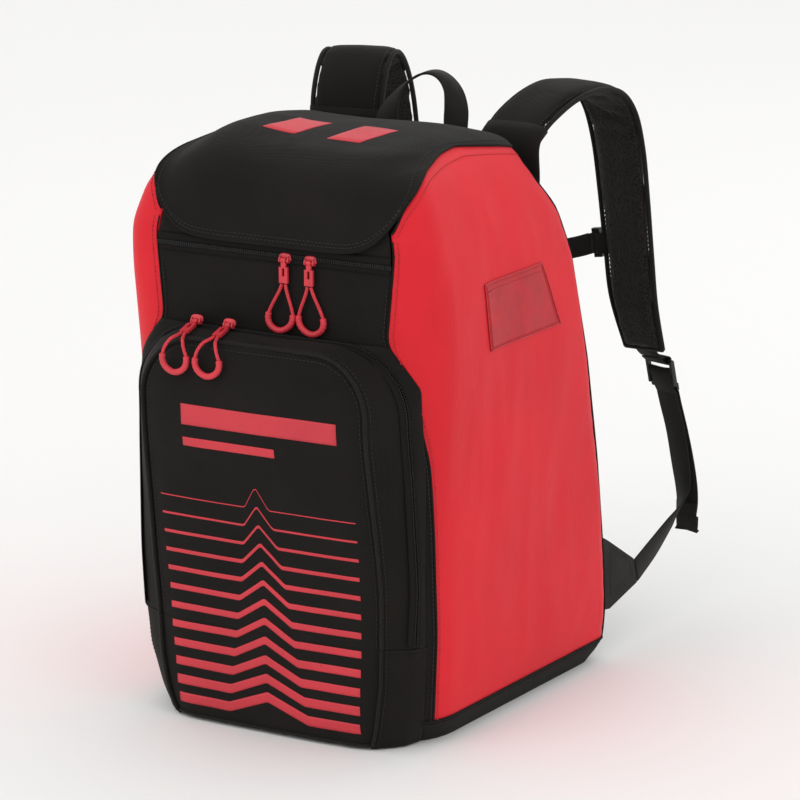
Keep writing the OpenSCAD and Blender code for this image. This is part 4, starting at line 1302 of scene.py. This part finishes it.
def strap_spine(name, frames, hull):
    """Flat webbing sewn down the middle of the pad's outer face, with bar tacks."""
    stop = len(frames) - 1
    used = frames[int(stop * 0.52):stop + 1]
    top = [on_surface(hull, p, n) for p, s, n, w, t in used]
    path = [q + n * 0.5 for q, (p, s, n, w, t) in zip(top, used)]
    spine = add_piece(f"shoulder_spine_{name}", *band_mesh(path, [f[1] for f in used], [22] * len(used), 1.6),
                      "webbing")
    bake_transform(spine)
    tacks = Parts()
    for i in range(2, len(used), 6):
        p, s, n, w, t = used[i]
        line = [top[i] + n * 1.4 + s * x for x in np.linspace(-9.5, 9.5, 8)]
        for shift in (-1.2, 0.0, 1.2):
            sew(tacks, [q + t * shift for q in line], [n] * len(line), 2.0, 1.6, 0.4)
    for k in (-1, 1):
        row = [q + s * 9.6 * k + n * 1.35 for q, (p, s, n, w, t) in zip(top, used)]
        sew(tacks, row, [n for p, s, n, w, t in used], 3.2, 2.2, 0.35)
    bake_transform(tacks.piece(f"shoulder_tacks_{name}", "thread_black"))


def ring_solid(name, rings, material, replaces=()):
    m = len(rings[0])
    verts = [p for ring in rings for p in ring]
    faces = []
    for i in range(len(rings) - 1):
        for k in range(m):
            a, b = i * m + k, i * m + (k + 1) % m
            faces.append((a, b, b + m, a + m))
    faces.append(tuple(range(m - 1, -1, -1)))
    faces.append(tuple((len(rings) - 1) * m + k for k in range(m)))
    return add_piece(name, verts, orient(verts, faces), material, None, replaces)


def pad_coordinates(piece, frames):
    """For each point of a pad: along, across (mm), the face it is on, and its frame's number."""
    line = np.array([f[0] for f in frames])
    s = np.array([f[1] for f in frames])
    n = np.array([f[2] for f in frames])
    pts = read_points(piece) / MM
    nearest = np.array([int(np.argmin(((line - p) ** 2).sum(1))) for p in pts])
    rel = pts - line[nearest]
    across = (rel * s[nearest]).sum(1)
    height = (rel * n[nearest]).sum(1)
    run = np.r_[0, np.cumsum(np.linalg.norm(np.diff(line, axis=0), axis=1))]
    return pts, nearest, run[nearest], across, height, n[nearest]


def groove_pad(piece, frames):
    """Presses soft cross folds into the pad's inner side and a soft ripple into both faces, both fading out at its
    edges.
    """
    pts, nearest, along, across, height, n = pad_coordinates(piece, frames)
    width = np.array([f[3] for f in frames])[nearest]
    inner = height < 0
    fold = np.exp(-((np.mod(along, 34) - 17) / 3.2) ** 2) * 1.2 * inner
    soft = np.array([ripple(p, 26, 4.2) for p in pts]) * 0.7
    edge = np.clip((np.abs(across) / width - 0.72) / 0.2, 0, 1)
    push = np.sign(height) * (soft * (1 - edge) - fold * (1 - edge))
    write_points(piece, (pts + n * push[:, None]) * MM)


def face_material(piece, frames):
    """Mesh cloth on the wearer's side of the pad."""
    piece.data.materials.append(MATERIALS["air_mesh"])
    line = np.array([f[0] for f in frames]) * MM
    n = np.array([f[2] for f in frames])
    for poly in piece.data.polygons:
        c = np.array(poly.center)
        i = int(np.argmin(((line - c) ** 2).sum(1)))
        if np.dot(c - line[i], n[i]) < -0.001:
            poly.material_index = 1


def foam_pads():
    """Mesh-covered foam pads on the back: crowned, with sewn channels and a bound edge."""
    for name, x0, x1, z0, z1, t in (("back_pad_left", -98, -22, 205, 425, 12),
                                    ("back_pad_right", 22, 98, 205, 425, 12),
                                    ("lumbar_pad", -98, 98, 92, 192, 14)):
        nx, nz = 22, 40
        outer, inner = [], []
        for v in np.linspace(0, 1, nz):
            row_o, row_i = [], []
            for u in np.linspace(0, 1, nx):
                z = mix(z0 + 0.4, z1 - 0.4, v)
                x = mix(x0 + 0.4, x1 - 0.4, u)
                crown = ((1 - abs(2 * u - 1) ** 4) * (1 - abs(2 * v - 1) ** 4)) ** 0.5
                row_o.append(np.array((x, back_yz(z) + 1.6 + (t - 1.5) * crown, z)))
                row_i.append(np.array((x, back_yz(z) + 0.2, z)))
            outer.append(row_o)
            inner.append(row_i)
        pad = add_piece(f"{name}_cover", *sheet_mesh(outer, inner), "air_mesh", None, [name])
        cloth_swell(pad, 3.0, 0.002, 0.004)
        pts = read_points(pad) / MM
        along = (pts[:, 2] - z0) / (z1 - z0)
        count = 4 if "back" in name else 2
        channel = np.exp(-((np.mod(along * count, 1) - 0.5) * (z1 - z0) / count / 3.4) ** 2)
        depth = np.clip(pts[:, 1] - np.array([back_yz(z) for z in pts[:, 2]]) - 2, 0, None)
        edge = np.clip(1 - np.abs(2 * (pts[:, 0] - x0) / (x1 - x0) - 1), 0, 1)
        pts[:, 1] -= channel * np.minimum(depth * 0.45, 5) * np.minimum(1, edge * 8)
        write_points(pad, pts * MM)
        finish_cloth(pad, 1)
        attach(pad, "bag")
        trim = Parts()
        r = 9.0
        loop = []
        for cx, cz, a0 in ((x1 - r, z1 - r, 0), (x0 + r, z1 - r, 90), (x0 + r, z0 + r, 180), (x1 - r, z0 + r, 270)):
            for a in np.linspace(a0, a0 + 90, 6):
                x, z = cx + r * math.cos(math.radians(a)), cz + r * math.sin(math.radians(a))
                loop.append((x, back_yz(z) + 1.7, z))
        loop.append(loop[0])
        trim.add(tube_mesh(resample(loop, 5), 1.9, 8))
        trim.piece(f"{name}_binding", "webbing", "bag")


def web_side(a):
    a = math.radians(a)
    return np.array((math.cos(a) * 0.96, -0.28 * math.cos(a) - 0.35 * math.sin(a), 0.93 * math.sin(a)))


WEB = [(150, 350, 222), (151.5, 355, 206), (155, 362, 180), (158, 367, 150), (161, 368, 126), (163, 362, 110),
       (164, 348, 100), (164, 325, 91), (163.5, 298, 80), (162, 262, 66)]
WEB_TURN = [0, 4, 12, 22, 36, 50, 62, 74, 84, 90]
TAIL = [(150, 356, 222), (151.5, 361, 206), (155, 368, 180), (159, 374, 150), (162, 377, 124), (163, 377, 106),
        (163, 373, 92)]
LOOP = [(138.6, 325.5, 266.5), (141.5, 331, 260), (145, 337.5, 257.8)]
LOCK_WRAP = [(141.5, 330.4, 261.4), (145.2, 338.6, 259), (146.4, 343.4, 257), (146.9, 344.6, 254), (146.4, 342, 250.9),
             (144.6, 337, 252.4), (141.4, 331, 258)]
LOCK_THREAD = [(150, 350, 221), (148.6, 345, 229.6), (147.2, 341.8, 240), (147, 342.6, 244), (147.1, 344.6, 245),
               (147.3, 347, 243), (148, 349.8, 236), (149, 353.2, 228), (150, 356, 221)]
HANDLE = [(36, 131, 495), (35.5, 133, 507), (33, 138, 520), (26, 146, 533), (14, 152, 543), (0, 154, 547)]
HANDLE_TURN = [0, 8, 34, 62, 82, 90]


def lower_straps():
    """Webbing below each pad, its folded end, the ladder lock's loop and the sewn anchor tab."""
    for name, s in (("left", -1), ("right", 1)):
        body = f"strap_{name}"
        flip = np.array((s, 1, 1))
        path = [p * flip for p in smooth_path(WEB, 8)]
        turn = [p[0] for p in smooth_path([(a, 0, 0) for a in WEB_TURN], 8)]
        sides = [web_side(a) * (1, s, s) for a in turn]
        add_piece(f"web_{name}", *band_mesh(path, sides, [WEB_W] * len(path), 1.7), "webbing", body,
                  [f"lower_webbing_{name}"])
        path = [p * flip for p in smooth_path(TAIL, 8)]
        tail = Parts()
        across = np.array((0.96, -0.28 * s, 0))
        tail.add(band_mesh(path, [across] * len(path), [WEB_W] * len(path), 1.7))
        fold = smooth_path([(163 * s, y, z) for y, z in ((373.4, 106), (373.6, 96), (374.2, 84), (375.8, 77.5),
                                                         (377.6, 84), (377.8, 92))], 5)
        tail.add(band_mesh(fold, [across] * len(fold), [WEB_W + 0.8] * len(fold), 1.5))
        tail.piece(f"web_tail_{name}", "webbing", body, [f"webbing_tail_{name}"])
        path = [p * flip for p in smooth_path(LOOP, 6)]
        add_piece(f"lock_web_{name}", *band_mesh(path, [across] * len(path), [WEB_W] * len(path), 2.8), "webbing",
                  body, [f"lock_loop_{name}"])
        wrap = [p * flip for p in smooth_path(LOCK_WRAP, 6)]
        add_piece(f"lock_wrap_{name}", *band_mesh(wrap, [across] * len(wrap), [WEB_W] * len(wrap), 1.5), "webbing",
                  body)
        thread = [p * flip for p in smooth_path(LOCK_THREAD, 6)]
        threaded = add_piece(f"lock_thread_{name}", *band_mesh(thread, [across] * len(thread), [WEB_W] * len(thread),
                                                              1.6), "webbing")
        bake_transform(threaded)
        anchor_tab(name, s)


def anchor_tab(name, s):
    """Triangular webbing tab sewn to the bag, with a box of stitches."""
    outline_yz = [(194, 46), (184.5, 120), (200, 112), (255.6, 80), (264.4, 54), (205, 44)]
    x0, x1 = (160.5, 163.0) if s > 0 else (-163.0, -160.5)
    n = len(outline_yz)
    centre = np.mean(outline_yz, axis=0)
    verts, faces = [], []
    rings = ((x0, 0.985), (x0 + 0.5, 1.0), (x1 - 0.5, 1.0), (x1, 0.985))
    for x, k in rings:
        for y, z in outline_yz:
            verts.append((x, centre[0] + (y - centre[0]) * k, centre[1] + (z - centre[1]) * k))
    for r in range(3):
        for k in range(n):
            a, b = r * n + k, r * n + (k + 1) % n
            faces.append((a, b, b + n, a + n))
    faces.append(tuple(range(n - 1, -1, -1)))
    faces.append(tuple(3 * n + k for k in range(n)))
    add_piece(f"anchor_tab_{name}", verts, orient(verts, faces), "webbing", "bag", [f"strap_anchor_{name}"],
              smooth=False)
    sewn = Parts()
    out = 163.1 * s if s > 0 else -163.1
    corners = [(206, 56), (206, 104), (246, 82), (252, 60), (206, 56)]
    for a, b in zip(corners, corners[1:]):
        line = [np.array((out, mix(a[0], b[0], t), mix(a[1], b[1], t))) for t in np.linspace(0, 1, 6)]
        sew(sewn, line, [(s, 0, 0)] * 6, 3.4, 2.4, 0.4)
    sewn.piece(f"anchor_stitches_{name}", "thread_black", "bag")


def chest_strap():
    for name, s in (("left", -1), ("right", 1)):
        path = [(83, CHEST_Y, 365.2), (72, CHEST_Y, 361.2), (58, CHEST_Y, 357), (45, CHEST_Y, 353.8),
                (29.8, CHEST_Y, 351)]
        path = [p * (s, 1, 1) for p in smooth_path(path, 6)]
        add_piece(f"chest_web_{name}", *band_mesh(path, [(0, 0, 1)] * len(path), [20] * len(path), 1.7), "webbing",
                  f"chest_half_{name}", [f"chest_webbing_{name}"])
        upright, leaning = np.array((0, 0, 1)), np.array((-0.139 * s, 0, 0.990))
        loops = Parts()
        for row in ([(83, 319, 365.2), (85, 320.8, 366), (87, 322.9, 366.6), (89, 321.6, 366.8)],
                    [(83, 319, 365.2), (85, 317.2, 366), (87, 315.1, 366.6), (89, 316.4, 366.8)],
                    [(89, 321.6, 366.8), (91.5, 323, 366.7), (95, 323.4, 366.5), (103, 324.4, 366),
                     (111, 323.8, 365.4), (118, 322, 364.8)],
                    [(89, 316.4, 366.8), (91.5, 315, 366.7), (95, 315.4, 366.5), (103, 319.4, 366),
                     (111, 321.4, 365.4), (117, 321.6, 364.8)]):
            path = [q * (s, 1, 1) for q in smooth_path(row, 6)]
            lean = np.linspace(0, 1, len(path)) if row[0][0] < 84 else np.ones(len(path))
            loops.add(band_mesh(path, [unit(mix(upright, leaning, k)) for k in lean], [19] * len(path), 1.6))
        loops.piece(f"chest_loops_{name}", "webbing", f"chest_slider_{name}")


def handle_and_yoke():
    last = len(HANDLE) - 2
    points = HANDLE + [(-HANDLE[i][0], HANDLE[i][1], HANDLE[i][2]) for i in range(last, -1, -1)]
    turns = HANDLE_TURN + [180 - HANDLE_TURN[i] for i in range(last, -1, -1)]
    path = smooth_path(points, 8)
    turn = [math.radians(p[0]) for p in smooth_path([(a, 0, 0) for a in turns], 8)]
    sides = [np.array((math.cos(a), math.sin(a), 0)) for a in turn]
    down = [np.array((p[0], 131.0, z)) for p, z in ((path[0], 470), (path[0], 478), (path[0], 487))]
    up = [np.array((path[-1][0], 131.0, z)) for z in (487, 478, 470)]
    full = down + path + up
    sides = [sides[0]] * 3 + sides + [sides[-1]] * 3
    widths = [24] * 3 + [24 - 4 * math.sin(a) for a in turn] + [24] * 3
    strap = add_piece("haul_strap", *band_mesh(full, sides, widths, 2.2), "webbing", None,
                      ["haul_handle", "handle_patches"])
    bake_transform(strap)
    tacks = Parts()
    for s in (-1, 1):
        for z in (471, 475, 487, 491):
            line = [np.array((36 * s + x, 132.3, z)) for x in np.linspace(-10, 10, 8)]
            sew(tacks, line, [(0, 1, 0)] * 8, 2.2, 1.7, 0.4)
    tacks.piece("handle_tacks", "thread_black", "bag")

    def yoke(u, v, inset):
        return shell_pt(mix(3.95, 6.05, u), mix(428, 466, v), inset - 2.2)

    sheet_piece("yoke_band", yoke, 60, 10, 1.9, "webbing", "bag", ["harness_yoke"])
    sewn = Parts()
    for z in (431, 434, 460, 463):
        qs = np.linspace(4.0, 6.0, 50)
        sew(sewn, [shell_pt(q, z, -2.4) for q in qs], [(0, 1, 0)] * 50, 4)
    sewn.piece("yoke_stitches", "thread_black", "bag")


def hardware():
    """CAD pieces whose shape is right: rounded edges and a moulded finish."""
    nodes = frame["nodes"]
    for name in nodes:
        material = None
        if "_pull_" in name:
            material = "pull_rubber"
        elif name.startswith(("ladder_lock", "chest_slider", "chest_buckle")):
            material = "black_plastic"
        elif name in ("frame_sheet", "base_board"):
            material = "stiffener"
        if material:
            piece = nodes[name]
            piece.data.materials.clear()
            piece.data.materials.append(MATERIALS[material])
            mod = piece.modifiers.new("round", "BEVEL")
            mod.width = 0.0005 if material != "black_plastic" else 0.0007
            mod.segments = 3
            mod.limit_method = "ANGLE"
            mod.angle_limit = math.radians(35)
            mod.harden_normals = False


# ---------------------------------------------------------------- studio
def studio():
    world = bpy.data.worlds.new("studio")
    world.use_nodes = True
    world.node_tree.nodes["Background"].inputs[0].default_value = (1, 1, 1, 1)
    world.node_tree.nodes["Background"].inputs[1].default_value = 1.0
    bpy.context.scene.world = world
    mesh = bpy.data.meshes.new("floor")
    r = 9.0
    mesh.from_pydata([(-r, -r, 0), (r, -r, 0), (r, r, 0), (-r, r, 0)], [], [(0, 1, 2, 3)])
    floor = bpy.data.objects.new("floor", mesh)
    bpy.context.scene.collection.objects.link(floor)
    material = bpy.data.materials.new("floor")
    material.use_nodes = True
    shader = material.node_tree.nodes["Principled BSDF"]
    shader.inputs["Base Color"].default_value = (0.9, 0.895, 0.885, 1)
    shader.inputs["Roughness"].default_value = 0.9
    mesh.materials.append(material)
    for name, place, size, power in (("key", (-1.2, -2.4, 2.6), 1.8, 12), ("fill", (2.8, -1.4, 2.0), 1.8, 5),
                                     ("back", (0.6, 2.8, 2.2), 2.0, 6)):
        light = bpy.data.lights.new(name, "AREA")
        light.size = size
        light.energy = power
        lamp = bpy.data.objects.new(name, light)
        bpy.context.scene.collection.objects.link(lamp)
        lamp.location = place
        lamp.rotation_mode = "QUATERNION"
        lamp.rotation_quaternion = (Vector((0, 0.03, 0.26)) - Vector(place)).to_track_quat("-Z", "Y")
    bpy.context.scene.view_settings.view_transform = "Standard"


zip_pulls()
slider_bodies()
shell_pieces()
seam_lines()
id_window()
pocket_pieces()
pocket_trim()
pocket_zip()
prints()
lid_pieces()
main_zip()
shoulder_pads()
foam_pads()
lower_straps()
chest_strap()
handle_and_yoke()
hardware()
studio()
